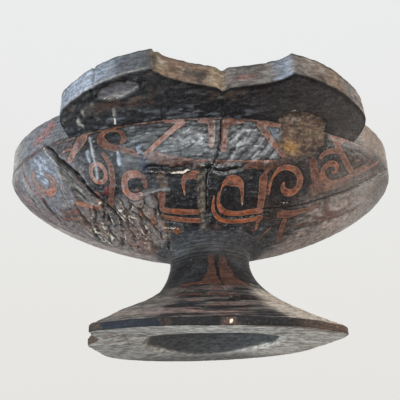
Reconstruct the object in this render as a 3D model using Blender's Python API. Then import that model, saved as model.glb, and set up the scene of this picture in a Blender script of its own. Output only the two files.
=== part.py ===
"""Lacquered stem cup: an oval bowl with two winged ears, standing on a turned trumpet foot.

Metres, +Z up. The origin is on the ground under the middle of the foot, +X runs along the bowl's
length and the ears stand out along +Y and -Y.
"""

import math

import bmesh
import bpy
from mathutils import Vector

# Bowl: its widest line, where the body ends and the upright lip band starts.
LINE_HALF_LENGTH = 0.0900
LINE_HALF_WIDTH = 0.0570
LINE_Z = 0.0740
PLAN_POWER = 1.85          # superellipse power of every level of the bowl
BODY_DEPTH = 0.0364        # from the line down to the bowl's underside
BODY_RADIAL_POWER = 1.77
BODY_DEPTH_POWER = 1.56

# Lip band and rim.
LIP_HALF_LENGTH = 0.0906
LIP_HALF_WIDTH = 0.0604
RIM_Z = 0.0854
RIM_WIDTH = 0.0050
RIM_ROUND = 0.0006
LIP_STEP = 0.0015          # height over which the lip leaves the line

# Hollow of the bowl.
FLOOR_Z = 0.0450
HOLLOW_RADIAL_POWER = 1.77
HOLLOW_DEPTH_POWER = 2.2

# Ears, in plan, for one quarter: a notch in the middle, a shallow front, a peak, a round wing.
NOTCH_Y = 0.0662
NOTCH_RISE = 0.0011
NOTCH_HALF_WIDTH = 0.0016
FRONT_SLOPE = 0.10
PEAK_X = 0.0250
PEAK_FLARE = 0.0022
PEAK_FLARE_POWER = 6
WING_CENTRE = Vector((0.0111, 0.0084))
WING_END_X = 0.0580
EAR_TIP = Vector((0.0622, 0.0489))   # corner that the rounded end bends around
EAR_END_X = 0.0571                   # where the ear runs out on the line
EAR_SLOPE = math.radians(26.0)       # its underside climbs outward
EAR_THICKNESS = 0.0093
EAR_BLEND = 0.0080                   # near the line the ear's edge leans with the lip

# Round seat under the bowl, and the gap that parts it from the stem.
SEAT_RADIUS = 0.0184
SEAT_Z = 0.0386
JOINT_GAP = 0.0003

# Stem and foot, turned.
FOOT_RADIUS = 0.0520
FOOT_RIM_HEIGHT = 0.0027
FOOT_EDGE_ROUND = 0.0005
WAIST_RADIUS = 0.0175
WAIST_Z = 0.0360
FLARE_POWER = 2.12
GROUND_RING_INNER = 0.0450           # the flat ring that the cup stands on
RECESS_RADIUS = 0.0300
RECESS_EDGE_Z = 0.0012
RECESS_DEPTH = 0.0140
RECESS_POWER = 2.2

# A chip broken out of the foot's rim.
CHIP_ANGLE = math.radians(-156.0)
CHIP_HALF_ANGLE = math.radians(5.5)
CHIP_DEPTH = 0.0048

# The old foot has warped: its rim climbs from the front's middle up to the chip, has drawn in at
# the bowl's two ends and stands out just in front of them. None of this reaches the narrow stem.
WARP_START = math.radians(-95.0)
WARP_LIFT = 0.0032
DRAWN_IN = 0.0045
DRAWN_IN_TURN = math.radians(5.0)      # behind the X axis
DRAWN_IN_SPREAD = math.radians(22.0)
CORNER_OUT = 0.0024
CORNER_OUT_TURN = math.radians(-30.0)  # in front of the X axis
CORNER_OUT_SPREAD = math.radians(11.0)
WARP_INNER_RADIUS = 0.0180
WARP_OUTER_RADIUS = 0.0420

# How finely the solids are faceted.
FRONT_STEPS = 9
WING_STEPS = 9
EAR_END_STEPS = 5
LIP_STEPS = 10
BODY_STEPS = 8
HOLLOW_STEPS = 8
TURNED_STEPS = 56
FLARE_STEPS = 8
RECESS_STEPS = 5


def blend(first, second, share):
    return first + (second - first) * share


def smooth(value):
    value = min(1.0, max(0.0, value))
    return value * value * (3 - 2 * value)


def oval(t, half_length, half_width):
    """Plan point of a quarter superellipse: t is 0 in the middle of a long side, pi/2 at the end."""
    power = 2 / PLAN_POWER
    return Vector((half_length * max(0.0, math.sin(t)) ** power,
                   half_width * max(0.0, math.cos(t)) ** power))


def line_point(t):
    return oval(t, LINE_HALF_LENGTH, LINE_HALF_WIDTH)


def lip_point(t):
    return oval(t, LIP_HALF_LENGTH, LIP_HALF_WIDTH)


def line_parameter(x):
    """The t at which the line has this x."""
    return math.asin((x / LINE_HALF_LENGTH) ** (PLAN_POWER / 2))


def nearest_on_line(point):
    """The t of the line's point nearest to a plan point, by ternary search."""
    low, high = 0.0, math.pi / 2
    for _ in range(60):
        first, second = blend(low, high, 1 / 3), blend(low, high, 2 / 3)
        if (line_point(first) - point).length < (line_point(second) - point).length:
            high = second
        else:
            low = first
    return (low + high) / 2


def front_of_ear(x):
    """Plan y of the ear's front edge, from the notch to the peak."""
    rise = NOTCH_RISE * (1 - math.exp(-((x / NOTCH_HALF_WIDTH) ** 2)))
    return NOTCH_Y + rise + FRONT_SLOPE * x + PEAK_FLARE * (x / PEAK_X) ** PEAK_FLARE_POWER


def ear_outline():
    """Plan points of a quarter's ear edge: front, wing arc, and the rounded end on the line."""
    points = []
    for k in range(FRONT_STEPS):
        x = PEAK_X * (1 - math.cos(math.pi * k / FRONT_STEPS)) / 2
        points.append(Vector((x, front_of_ear(x))))
    peak = Vector((PEAK_X, front_of_ear(PEAK_X)))
    radius = (peak - WING_CENTRE).length
    start = math.atan2(peak.y - WING_CENTRE.y, peak.x - WING_CENTRE.x)
    end = math.acos((WING_END_X - WING_CENTRE.x) / radius)
    for k in range(WING_STEPS):
        angle = blend(start, end, k / WING_STEPS)
        points.append(WING_CENTRE + radius * Vector((math.cos(angle), math.sin(angle))))
    wing_end = WING_CENTRE + radius * Vector((math.cos(end), math.sin(end)))
    foot = line_point(line_parameter(EAR_END_X))
    for k in range(EAR_END_STEPS):
        share = k / EAR_END_STEPS
        points.append(blend(blend(wing_end, EAR_TIP, share), blend(EAR_TIP, foot, share), share))
    return points


def quarter_sections():
    """(t on the line, lower edge point, upper edge point) of each section of a quarter."""
    sections = []
    full_lip = RIM_Z - LINE_Z
    for edge in ear_outline():
        t = nearest_on_line(edge)
        reach = (edge - line_point(t)).length
        lean = (lip_point(t) - line_point(t)) * (1 - smooth(reach / EAR_BLEND))
        rise = max(LIP_STEP, reach * math.tan(EAR_SLOPE))
        lower = edge + lean * (rise / full_lip)
        upper = edge + lean
        sections.append((t, lower.to_3d() + Vector((0, 0, LINE_Z + rise)),
                         upper.to_3d() + Vector((0, 0, LINE_Z + rise + EAR_THICKNESS))))
    ear_end = line_parameter(EAR_END_X)
    for k in range(LIP_STEPS + 1):
        t = blend(ear_end, math.pi / 2, k / LIP_STEPS)
        lower = blend(line_point(t), lip_point(t), LIP_STEP / full_lip)
        sections.append((t, lower.to_3d() + Vector((0, 0, LINE_Z + LIP_STEP)),
                         lip_point(t).to_3d() + Vector((0, 0, RIM_Z - RIM_ROUND))))
    return sections


def body_height(x, y):
    """Height of the bowl's outer surface at a plan point inside the line."""
    share = ((x / LINE_HALF_LENGTH) ** PLAN_POWER + (y / LINE_HALF_WIDTH) ** PLAN_POWER)
    share = min(1.0, share ** (1 / PLAN_POWER))
    drop = (1 - share ** BODY_RADIAL_POWER) ** (1 / BODY_DEPTH_POWER)
    return LINE_Z - BODY_DEPTH * drop


def hollow_height(share):
    """Height of the bowl's inner surface at this share of the way from its middle to its rim."""
    drop = (1 - share ** HOLLOW_RADIAL_POWER) ** (1 / HOLLOW_DEPTH_POWER)
    return RIM_Z - (RIM_Z - FLOOR_Z) * drop


def bowl_profile(section):
    """Points of one section, from the seat up the outside, around the ear or lip, and down inside."""
    t, lower, upper = section
    line = line_point(t)
    round_seat = line.normalized() * SEAT_RADIUS
    points = [round_seat.to_3d() + Vector((0, 0, SEAT_Z))]
    for k in range(BODY_STEPS):
        share = math.sin(math.pi / 2 * k / BODY_STEPS)
        plan = blend(round_seat, line, share)
        points.append(Vector((plan.x, plan.y, body_height(plan.x, plan.y))))
    line = line.to_3d() + Vector((0, 0, LINE_Z))
    points += [line, blend(line, lower, 0.5), lower, blend(lower, upper, 0.5), upper]
    inward = 1 - RIM_ROUND / LIP_HALF_WIDTH
    crest = lip_point(t).to_3d() * inward + Vector((0, 0, RIM_Z))
    points += [blend(upper, crest, 0.5), crest]
    for k in range(HOLLOW_STEPS):
        share = math.cos(math.pi / 2 * k / HOLLOW_STEPS)
        plan = oval(t, LIP_HALF_LENGTH - RIM_WIDTH, LIP_HALF_WIDTH - RIM_WIDTH) * share
        points.append(Vector((plan.x, plan.y, hollow_height(share))))
    return points


def around(quarter):
    """The quarter's profiles repeated around the oval, anticlockwise from the front's middle."""
    last = len(quarter) - 1
    order = [(k, 1, -1) for k in range(last + 1)]
    order += [(k, 1, 1) for k in range(last - 1, -1, -1)]
    order += [(k, -1, 1) for k in range(1, last + 1)]
    order += [(k, -1, -1) for k in range(last - 1, 0, -1)]
    return [[Vector((p.x * sx, p.y * sy, p.z)) for p in quarter[k]] for k, sx, sy in order]


def closed_skin(name, rings, start_pole, end_pole, sharp_angle, material):
    """One closed body from profiles set around the axis, with a fan at each pole."""
    mesh_data = bmesh.new()
    columns = [[mesh_data.verts.new(p) for p in ring] for ring in rings]
    start, end = mesh_data.verts.new(start_pole), mesh_data.verts.new(end_pole)
    for column, following in zip(columns, columns[1:] + columns[:1]):
        mesh_data.faces.new((start, following[0], column[0]))
        for k in range(len(column) - 1):
            mesh_data.faces.new((column[k], following[k], following[k + 1], column[k + 1]))
        mesh_data.faces.new((end, column[-1], following[-1]))
    bmesh.ops.recalc_face_normals(mesh_data, faces=mesh_data.faces)
    mesh = bpy.data.meshes.new(name)
    mesh_data.to_mesh(mesh)
    mesh_data.free()
    mesh.shade_smooth()
    mesh.set_sharp_from_angle(angle=sharp_angle)
    mesh.materials.append(material)
    piece = bpy.data.objects.new(name, mesh)
    bpy.context.scene.collection.objects.link(piece)
    return piece


def make_bowl(material):
    quarter = [bowl_profile(section) for section in quarter_sections()]
    return closed_skin("bowl", around(quarter), Vector((0, 0, SEAT_Z)), Vector((0, 0, FLOOR_Z)),
                       math.radians(35), material)


def stem_profile():
    """(radius, height) points from the recess, out under the foot, up the flare to the seat."""
    points = []
    for k in range(1, RECESS_STEPS + 1):
        share = k / RECESS_STEPS
        points.append((RECESS_RADIUS * share,
                       RECESS_EDGE_Z + RECESS_DEPTH * (1 - share ** RECESS_POWER)))
    points += [(GROUND_RING_INNER, 0.0), (FOOT_RADIUS - FOOT_EDGE_ROUND, 0.0),
               (FOOT_RADIUS, FOOT_EDGE_ROUND), (FOOT_RADIUS, FOOT_RIM_HEIGHT - FOOT_EDGE_ROUND),
               (FOOT_RADIUS - FOOT_EDGE_ROUND, FOOT_RIM_HEIGHT)]
    for k in range(1, FLARE_STEPS + 1):
        share = 1 - k / FLARE_STEPS
        points.append((WAIST_RADIUS + (FOOT_RADIUS - WAIST_RADIUS) * share ** FLARE_POWER,
                       WAIST_Z - (WAIST_Z - FOOT_RIM_HEIGHT) * share))
    points.append((SEAT_RADIUS, SEAT_Z - JOINT_GAP))
    return points


def chip_reach(angle):
    """How far the rim is broken back at this angle: a plain V."""
    away = abs(math.remainder(angle - CHIP_ANGLE, 2 * math.pi))
    return CHIP_DEPTH * max(0.0, 1 - away / CHIP_HALF_ANGLE)


def warp_lift(angle):
    """How far the rim has risen at this angle: most just before the chip, none beyond it."""
    past_start = math.remainder(WARP_START - angle, 2 * math.pi)
    length = WARP_START - CHIP_ANGLE - CHIP_HALF_ANGLE
    rising = past_start / length
    falling = (length + 2 * CHIP_HALF_ANGLE - past_start) / (2 * CHIP_HALF_ANGLE)
    return WARP_LIFT * max(0.0, min(rising, falling))


def both_sides(angle, turn, spread):
    """1 at this turn from the X axis and at its mirror image, fading over the spread."""
    away = [math.remainder(angle - side, 2 * math.pi) for side in (turn, math.pi - turn)]
    return sum(math.exp(-(a / spread) ** 2) for a in away)


def outward_shift(angle):
    """How far the rim has moved outwards at this angle: the sides shrank, the corners stand out."""
    return (CORNER_OUT * both_sides(angle, CORNER_OUT_TURN, CORNER_OUT_SPREAD)
            - DRAWN_IN * both_sides(angle, DRAWN_IN_TURN, DRAWN_IN_SPREAD))


def foot_point(angle, radius, height):
    """A point of the turned profile where the warped foot now has it."""
    share = smooth((radius - WARP_INNER_RADIUS) / (WARP_OUTER_RADIUS - WARP_INNER_RADIUS))
    radius += share * outward_shift(angle)
    height += share * warp_lift(angle)
    return Vector((radius * math.cos(angle), radius * math.sin(angle), height))


def turning_angles():
    """Even angles around the foot, with the chip's own three set among them."""
    chip = [CHIP_ANGLE + side * CHIP_HALF_ANGLE for side in (-1, 0, 1)]
    step = 2 * math.pi / TURNED_STEPS
    even = [CHIP_ANGLE + step * k for k in range(1, TURNED_STEPS)]
    clear = [a for a in even if abs(math.remainder(a - CHIP_ANGLE, 2 * math.pi)) > 1.3 * CHIP_HALF_ANGLE]
    return sorted(chip + clear, key=lambda a: a % (2 * math.pi))


def make_stem(material):
    profile = stem_profile()
    rings = []
    for angle in turning_angles():
        limit = FOOT_RADIUS - chip_reach(angle)
        ring = []
        for radius, height in profile:
            radius = min(radius, limit) if radius > FOOT_RADIUS - 2 * FOOT_EDGE_ROUND else radius
            ring.append(foot_point(angle, radius, height))
        rings.append(ring)
    return closed_skin("stem", rings, Vector((0, 0, RECESS_EDGE_Z + RECESS_DEPTH)),
                       Vector((0, 0, SEAT_Z - JOINT_GAP)), math.radians(35), material)


def lacquer(name, colour, roughness):
    material = bpy.data.materials.new(name)
    material.use_nodes = True
    shader = material.node_tree.nodes["Principled BSDF"]
    shader.inputs["Base Color"].default_value = (*colour, 1)
    shader.inputs["Roughness"].default_value = roughness
    shader.inputs["Metallic"].default_value = 0.0
    return material


def main():
    for old in list(bpy.data.objects):
        bpy.data.objects.remove(old)
    make_bowl(lacquer("black_lacquer", (0.030, 0.027, 0.026), 0.35))
    make_stem(lacquer("worn_lacquer", (0.120, 0.112, 0.100), 0.60))


main()
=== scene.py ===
"""Looks of the lacquered stem cup: cracked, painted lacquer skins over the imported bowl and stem.

Every skin is a grid worked out with numpy in millimetres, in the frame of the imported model, and
scaled to it at the end. Front features lie on the bowl by two lengths: u runs along the line
between body and lip from the front's middle (+X positive), v down the body from that line.
On an ear v is the distance out from the bowl. The whole number in a noise call is its seed.
"""

import itertools
import math

import bpy
import numpy as np
from mathutils import Matrix, Vector


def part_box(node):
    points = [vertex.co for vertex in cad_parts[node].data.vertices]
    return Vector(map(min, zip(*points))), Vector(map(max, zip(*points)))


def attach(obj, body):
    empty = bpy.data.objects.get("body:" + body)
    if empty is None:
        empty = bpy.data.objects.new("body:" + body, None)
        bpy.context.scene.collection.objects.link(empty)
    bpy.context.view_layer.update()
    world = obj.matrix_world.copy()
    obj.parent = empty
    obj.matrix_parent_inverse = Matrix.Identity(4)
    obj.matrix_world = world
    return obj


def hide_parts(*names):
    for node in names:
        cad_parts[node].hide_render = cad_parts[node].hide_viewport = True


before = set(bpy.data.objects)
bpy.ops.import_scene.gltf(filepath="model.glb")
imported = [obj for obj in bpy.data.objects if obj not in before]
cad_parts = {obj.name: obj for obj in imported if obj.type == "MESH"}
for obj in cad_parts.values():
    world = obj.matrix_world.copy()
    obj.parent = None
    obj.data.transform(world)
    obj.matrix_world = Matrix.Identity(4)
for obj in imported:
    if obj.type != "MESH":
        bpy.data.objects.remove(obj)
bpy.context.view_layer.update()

# Sizes in millimetres, the same as in the part's source.
LINE_HALF_LENGTH, LINE_HALF_WIDTH, LINE_Z = 90.0, 57.0, 74.0
PLAN_POWER = 1.85
BODY_DEPTH, BODY_RADIAL_POWER, BODY_DEPTH_POWER = 36.4, 1.77, 1.56
LIP_HALF_LENGTH, LIP_HALF_WIDTH, RIM_Z = 90.6, 60.4, 85.4
RIM_WIDTH, RIM_ROUND = 5.0, 0.6
FLOOR_Z, HOLLOW_RADIAL_POWER, HOLLOW_DEPTH_POWER = 45.0, 1.77, 2.2
NOTCH_Y, NOTCH_RISE, NOTCH_HALF_WIDTH = 66.2, 1.1, 1.6
FRONT_SLOPE, PEAK_X, PEAK_FLARE, PEAK_FLARE_POWER = 0.10, 25.0, 2.2, 6
WING_CENTRE, WING_END_X = np.array((11.1, 8.4)), 58.0
EAR_TIP, EAR_END_X = np.array((62.2, 48.9)), 57.1
EAR_SLOPE, EAR_THICKNESS, EAR_BLEND, LIP_STEP = math.radians(26.0), 9.3, 8.0, 1.5
SEAT_RADIUS, SEAT_Z = 18.4, 38.6
FOOT_RADIUS, FOOT_RIM_HEIGHT, FOOT_EDGE_ROUND = 52.0, 2.7, 0.5
WAIST_RADIUS, WAIST_Z, FLARE_POWER = 17.5, 36.0, 2.12
GROUND_RING_INNER, RECESS_RADIUS, RECESS_EDGE_Z = 45.0, 30.0, 1.2
RECESS_DEPTH, RECESS_POWER = 14.0, 2.2
CHIP_ANGLE, CHIP_HALF_ANGLE, CHIP_DEPTH = math.radians(-156.0), math.radians(5.5), 4.8
WARP_START, WARP_LIFT = math.radians(-95.0), 3.2
DRAWN_IN, DRAWN_IN_TURN, DRAWN_IN_SPREAD = 4.5, math.radians(5.0), math.radians(22.0)
CORNER_OUT, CORNER_OUT_TURN, CORNER_OUT_SPREAD = 2.4, math.radians(-30.0), math.radians(11.0)
WARP_INNER_RADIUS, WARP_OUTER_RADIUS = 18.0, 42.0

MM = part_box("bowl")[1].x / LIP_HALF_LENGTH      # metres of the frame for one millimetre here

# Grid fineness.
FRONT_COLUMNS, BACK_COLUMNS = 408, 340
ROW_STEP = 0.55
BAND_ROWS, RIM_ROWS, HOLLOW_ROWS = 16, 3, 46
EAR_STEP = 0.5
UNDERSIDE_ROWS, EDGE_ROWS, TOP_ROWS, EAR_FOOT_POINTS = 30, 14, 18, 19
STEM_FRONT_COLUMNS, STEM_BACK_COLUMNS = 300, 200
RECESS_ROWS, RECESS_EDGE_ROWS, GROUND_ROWS, FOOT_SIDE_ROWS, SEAT_ROWS = 48, 20, 8, 4, 5
CURVE_STEPS, RING_POINTS, SPIRAL_POINTS = 6, 40, 48
RIM_SHARES = (0.3, 0.6, 0.85)   # rows across the flat of the bowl's rim
FLARE_STEP, FLARE_START = 0.5, 0.4      # mm between the flare's rows, and from the edge to the first
SHARP_ANGLE = math.radians(55)

# Columns crowd towards the axis, so they are thinned there. A row beyond an ALL keeps every one of
# them, a row beyond a HALF every second one, and any other row every fourth. The numbers are shares
# of the way out, but for FLARE_ALL, which is a radius in mm.
BODY_ALL, BODY_HALF, HOLLOW_HALF, RECESS_HALF, FLARE_ALL = 0.42, 0.10, 0.35, 0.5, 26.0

# Lengths in mm that the part doesn't have.
FAR = 6.0                       # beyond it a painted stroke isn't felt
NOWHERE = 1000.0                # no mark reaches it, for places that marks must stay off
RING_PITCH = 1.5                # between turning rings
BOSS_FADE = 2.4                 # over which the flat seat under the bowl turns into its curve
SEAT_OVERLAP = 0.3              # the stem's skin goes this far past its seat, so no gap shows
GROOVE_INSET = 1.9              # from the foot's edge in to the groove turned along it
EAR_END_SINK = 0.3              # into the bowl, where an ear ends
ROOT_LOW_IN, ROOT_LOW_UP = 2.4, 1.0     # where the ear's skin ends inside the bowl's wall, below
ROOT_TOP_IN, ROOT_TOP_DOWN = 2.6, 0.9   # and above

# The photograph's camera, in mm from the foot's middle and in degrees.
CAMERA_TARGET, CAMERA_DISTANCE = (-3.07, 0, 67.85), 207.65
CAMERA_AZIMUTH, CAMERA_ELEVATION, CAMERA_ROLL = -5.8, -25.93, -2.4
CAMERA_LENS, SENSOR_WIDTH, CLIP_START = 38.9, 36.0, 10.0

# Lights: name, place, side of its square, power and colour; all face one place. Lengths in mm.
LIGHT_TARGET = (0, 0, 50)
LIGHTS = [
    ("key", (-380, -420, 620), 420, 5.0, (0.93, 0.97, 1.0)),
    ("fill", (520, -260, 260), 420, 2.5, (1.0, 0.95, 0.88)),
    ("window", (-605, 30, -155), 260, 3.2, (0.78, 0.90, 1.0)),
    ("cloth_left", (-260, -330, -300), 260, 1.5, (0.85, 0.93, 1.0)),
    ("cloth_right", (470, 60, -150), 300, 0.7, (1.0, 0.90, 0.80)),
    ("cloth_front", (60, -470, -80), 160, 1.6, (0.98, 0.98, 0.99)),
]
FLOOR_HALF_SIZE = 1600.0

# Colours, linear.
BLACK = (0.012, 0.011, 0.012)
SLATE = (0.046, 0.050, 0.056)
BLUE_GREY = (0.115, 0.135, 0.165)
STEEL = (0.200, 0.235, 0.285)
PALE_BLUE = (0.36, 0.41, 0.50)
ASH = (0.120, 0.108, 0.098)
PALE_ASH = (0.330, 0.300, 0.265)
FROST = (0.430, 0.440, 0.440)
LILAC = (0.190, 0.168, 0.170)
INK_BLUE = (0.045, 0.062, 0.105)
HAZE = (0.215, 0.170, 0.150)
BROWN = (0.080, 0.045, 0.030)
WOOD = (0.165, 0.105, 0.066)
TAN = (0.260, 0.190, 0.115)
GOLD = (0.360, 0.190, 0.055)
ROSE = (0.200, 0.085, 0.068)
OXBLOOD = (0.130, 0.014, 0.012)
RUST = (0.270, 0.095, 0.040)
CINNABAR = (0.300, 0.042, 0.022)
DULL_LILAC = (0.1235, 0.1092, 0.1105)
HAZE_AND_SHEEN = (0.473, 0.374, 0.330)
DARK_ASH = (0.096, 0.0864, 0.0784)
DARK_SLATE = (0.0368, 0.040, 0.0448)
DARK_UMBER = (0.03348, 0.02728, 0.02666)
DARK_BROWN = (0.064, 0.036, 0.024)
DEEP_BROWN = (0.048, 0.027, 0.018)
FOLD_SHEEN = (0.138, 0.145, 0.142)
FOLD_HIGHLIGHT = (0.160, 0.166, 0.160)
DUSTY_ROSE = (0.290, 0.215, 0.200)
WARM_BROWN = (0.076, 0.044, 0.030)
LIP_BROWN = (0.215, 0.138, 0.088)
LIP_GREY = (0.155, 0.160, 0.175)
SMEAR_RED = (0.26, 0.12, 0.11)
PALE_HAZE_AND_SHEEN = (0.430, 0.345, 0.295)
CRAZED_BROWN = (0.182, 0.136, 0.112)
ROSE_BROWN = (0.250, 0.140, 0.110)
PEELED_GREY = (0.102, 0.092, 0.096)
RUBBED_ROSE = (0.300, 0.205, 0.180)
PALE_WOOD = (0.520, 0.450, 0.370)
RIM_BLACK = (0.010, 0.010, 0.011)
BLUE_BLACK = (0.010, 0.017, 0.034)
DRY_WOOD = (0.58, 0.54, 0.48)
WARM_WOOD = (0.620, 0.530, 0.430)
RECESS_GREY = (0.066, 0.066, 0.065)
DUST = (0.36, 0.34, 0.33)
OUTLINE_BLACK = (0.008, 0.007, 0.007)
DULL_RED = (0.080, 0.038, 0.027)
WORN_RED = (0.190, 0.082, 0.053)
VERMILION = (0.370, 0.104, 0.036)
GRAIN_IN_RED = (0.40, 0.36, 0.36)
DUST_ON_RED = (0.40, 0.26, 0.20)
PALE_RED_EDGE = (0.360, 0.190, 0.130)
# Colour of the painted sheen on the paint.
SHEEN_ON_PAINT = (0.620, 0.470, 0.430)
PALE_GROUND_AND_GLINT = (0.56, 0.49, 0.40)
SHADE_BLACK = (0.004, 0.0035, 0.003)


# ---------------------------------------------------------------- noise and paths

MIXER, PRIMES = 1274126177, (374761393, 668265263, 2147483629)      # they scramble lattice points


def smooth_step(value, low, high):
    """0 where value is at low, 1 where it is at high, smooth between; low may be the larger."""
    share = np.clip((value - low) / (high - low), 0, 1)
    return share * share * (3 - 2 * share)


def ridge(distance, width):
    """1 on a line and fading away from it over this width, which may be 0."""
    return np.exp(-(distance / np.maximum(width, 1e-9)) ** 2)


def steps_to_one(count):
    """Even steps from just past 0 up to 1."""
    return np.linspace(0, 1, count + 1)[1:]


def between(first, last, share):
    """The value at a share of the way from the first to the last."""
    return first + (last - first) * share


def unit(vectors):
    return vectors / np.maximum(np.linalg.norm(vectors, axis=-1, keepdims=True), 1e-9)


def pair(first, second):
    """Two coordinates of every place in one array."""
    return np.stack([first, second], -1)


def hashed(lattice, seed):
    """Repeatable values in -1..1 at whole-number lattice points, an (..., n) array."""
    mixed = np.full(lattice.shape[:-1], seed * MIXER, dtype=np.int64)
    for axis, prime in zip(range(lattice.shape[-1]), PRIMES):
        mixed = mixed + lattice[..., axis] * prime
    mixed = (mixed ^ (mixed >> 13)) * MIXER
    mixed = mixed ^ (mixed >> 16)
    return (mixed & 0xFFFF) / 32767.5 - 1.0


def noise(points, seed):
    """Smooth noise in -1..1 with one lattice cell a unit, in as many dimensions as points has."""
    base = np.floor(points).astype(np.int64)
    part = points - base
    part = part * part * (3 - 2 * part)
    total = np.zeros(points.shape[:-1])
    for corner in itertools.product((0, 1), repeat=points.shape[-1]):
        weight = np.prod(np.where(corner, part, 1 - part), axis=-1)
        total += weight * hashed(base + np.array(corner), seed)
    return total


def fractal(points, size, seed, octaves=3):
    """Noise with its largest blobs about size across, and finer ones on them."""
    scale = np.asarray(size, dtype=float)
    total, weight, whole = 0.0, 1.0, 0.0
    for octave in range(octaves):
        total = total + weight * noise(points / scale + 7.3 * octave, seed + octave)
        whole += weight
        weight *= 0.55
        scale = scale * 0.5
    return total / whole


def streaks(u, v, degrees, length, width, seed, octaves=3):
    """Noise drawn out in a direction, in degrees from +u towards +v."""
    turn = math.radians(degrees)
    along = u * math.cos(turn) + v * math.sin(turn)
    across = v * math.cos(turn) - u * math.sin(turn)
    return fractal(pair(along / length, across / width), 1.0, seed, octaves)


def cells(points, seed):
    """(distance to the border between irregular cells, the cell's own value) of 2-D points."""
    base = np.floor(points).astype(np.int64)
    nearest = np.full(points.shape[:-1], 9.0)
    second, value = nearest.copy(), np.zeros_like(nearest)
    for shift in itertools.product((-1, 0, 1), repeat=2):
        cell = base + np.array(shift)
        centre = cell + 0.5 + 0.42 * pair(hashed(cell, seed), hashed(cell, seed + 1))
        away = np.linalg.norm(points - centre, axis=-1)
        closer = away < nearest
        second = np.where(closer, nearest, np.minimum(second, away))
        value = np.where(closer, hashed(cell, seed + 2), value)
        nearest = np.where(closer, away, nearest)
    return second - nearest, value


def curve_through(knots):
    """Points of a smooth curve through the knots, whatever their number of columns."""
    knots = np.asarray(knots, dtype=float)
    padded = np.vstack([2 * knots[0] - knots[1], knots, 2 * knots[-1] - knots[-2]])
    t = np.linspace(0, 1, CURVE_STEPS, endpoint=False)[:, None]
    pieces = []
    for a, b, c, d in zip(padded, padded[1:], padded[2:], padded[3:]):
        pieces.append(0.5 * (2 * b + (c - a) * t + (2 * a - 5 * b + 4 * c - d) * t ** 2
                             + (3 * b - a - 3 * c + d) * t ** 3))
    return np.vstack(pieces + [knots[-1:]])


def with_width(points, widths):
    """(n, 3) knots: each point with its width, the widths spread evenly along the points."""
    widths = np.atleast_1d(np.asarray(widths, dtype=float))
    places = np.linspace(0, 1, len(widths))
    spread = np.interp(np.linspace(0, 1, len(points)), places, widths)
    return np.column_stack([np.asarray(points, dtype=float), spread])


def line_through(knots):
    """A smooth path through knots whose width doesn't matter."""
    return curve_through(with_width(knots, 1.0))


def near_path(u, v, path):
    """(distance, path width at the nearest place, side) to a path; side is -1 on its left."""
    distance = np.full(u.shape, FAR)
    width, side = np.zeros(u.shape), np.zeros(u.shape)
    low, high = path[:, :2].min(0) - FAR, path[:, :2].max(0) + FAR
    near = (u > low[0]) & (u < high[0]) & (v > low[1]) & (v < high[1])
    if not near.any():
        return distance, width, side
    pu, pv = u[near], v[near]
    best, best_width, best_side = distance[near], width[near], side[near]
    for start, end in zip(path, path[1:]):
        du, dv = end[:2] - start[:2]
        share = ((pu - start[0]) * du + (pv - start[1]) * dv) / max(du * du + dv * dv, 1e-9)
        share = np.clip(share, 0, 1)
        away = np.hypot(pu - start[0] - share * du, pv - start[1] - share * dv)
        closer = away < best
        best = np.where(closer, away, best)
        best_width = np.where(closer, between(start[2], end[2], share), best_width)
        turn = np.sign(du * (pv - start[1]) - dv * (pu - start[0]))
        best_side = np.where(closer, turn, best_side)
    distance[near], width[near], side[near] = best, best_width, best_side
    return distance, width, side


def in_polygon(u, v, corners):
    """Signed distance to a polygon, negative inside."""
    closed = with_width([*corners, corners[0]], 0)
    distance, _, _ = near_path(u, v, closed)
    inside = np.zeros(u.shape, dtype=bool)
    for (au, av, _), (bu, bv, _) in zip(closed, closed[1:]):
        if av != bv:
            crossing = (av > v) != (bv > v)
            inside ^= crossing & (u < (bu - au) * (v - av) / (bv - av) + au)
    return np.where(inside, -distance, distance)


def stroke(tone, widths, *points):
    """A painted stroke: how bright its red is, and its path with widths."""
    return tone, curve_through(with_width(points, widths))


def around(centre, radii, angle):
    """Points round a centre, at angles measured from +u towards +v."""
    return np.array(centre) + pair(np.cos(angle), np.sin(angle)) * radii


def ring(tone, width, centre, radii, start, end):
    """A stroke round an oval between two angles in degrees."""
    angle = np.radians(np.linspace(start, end, RING_POINTS))
    return tone, with_width(around(centre, radii, angle), width)


def spiral(tone, widths, centre, radii, start, end):
    """A stroke winding from the first radius to the last between two angles in degrees."""
    angle = np.radians(np.linspace(start, end, SPIRAL_POINTS))
    radius = np.linspace(*radii, SPIRAL_POINTS)[:, None]
    return tone, with_width(around(centre, radius, angle), widths)


def faded(amount, pattern=None, low=0.0, high=1.0):
    """The amount kept in 0..1; with a pattern, 0 where it is at low and all where it is at high."""
    if pattern is not None:
        amount = amount * smooth_step(pattern, low, high)
    return np.clip(amount, 0, 1)


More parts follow.
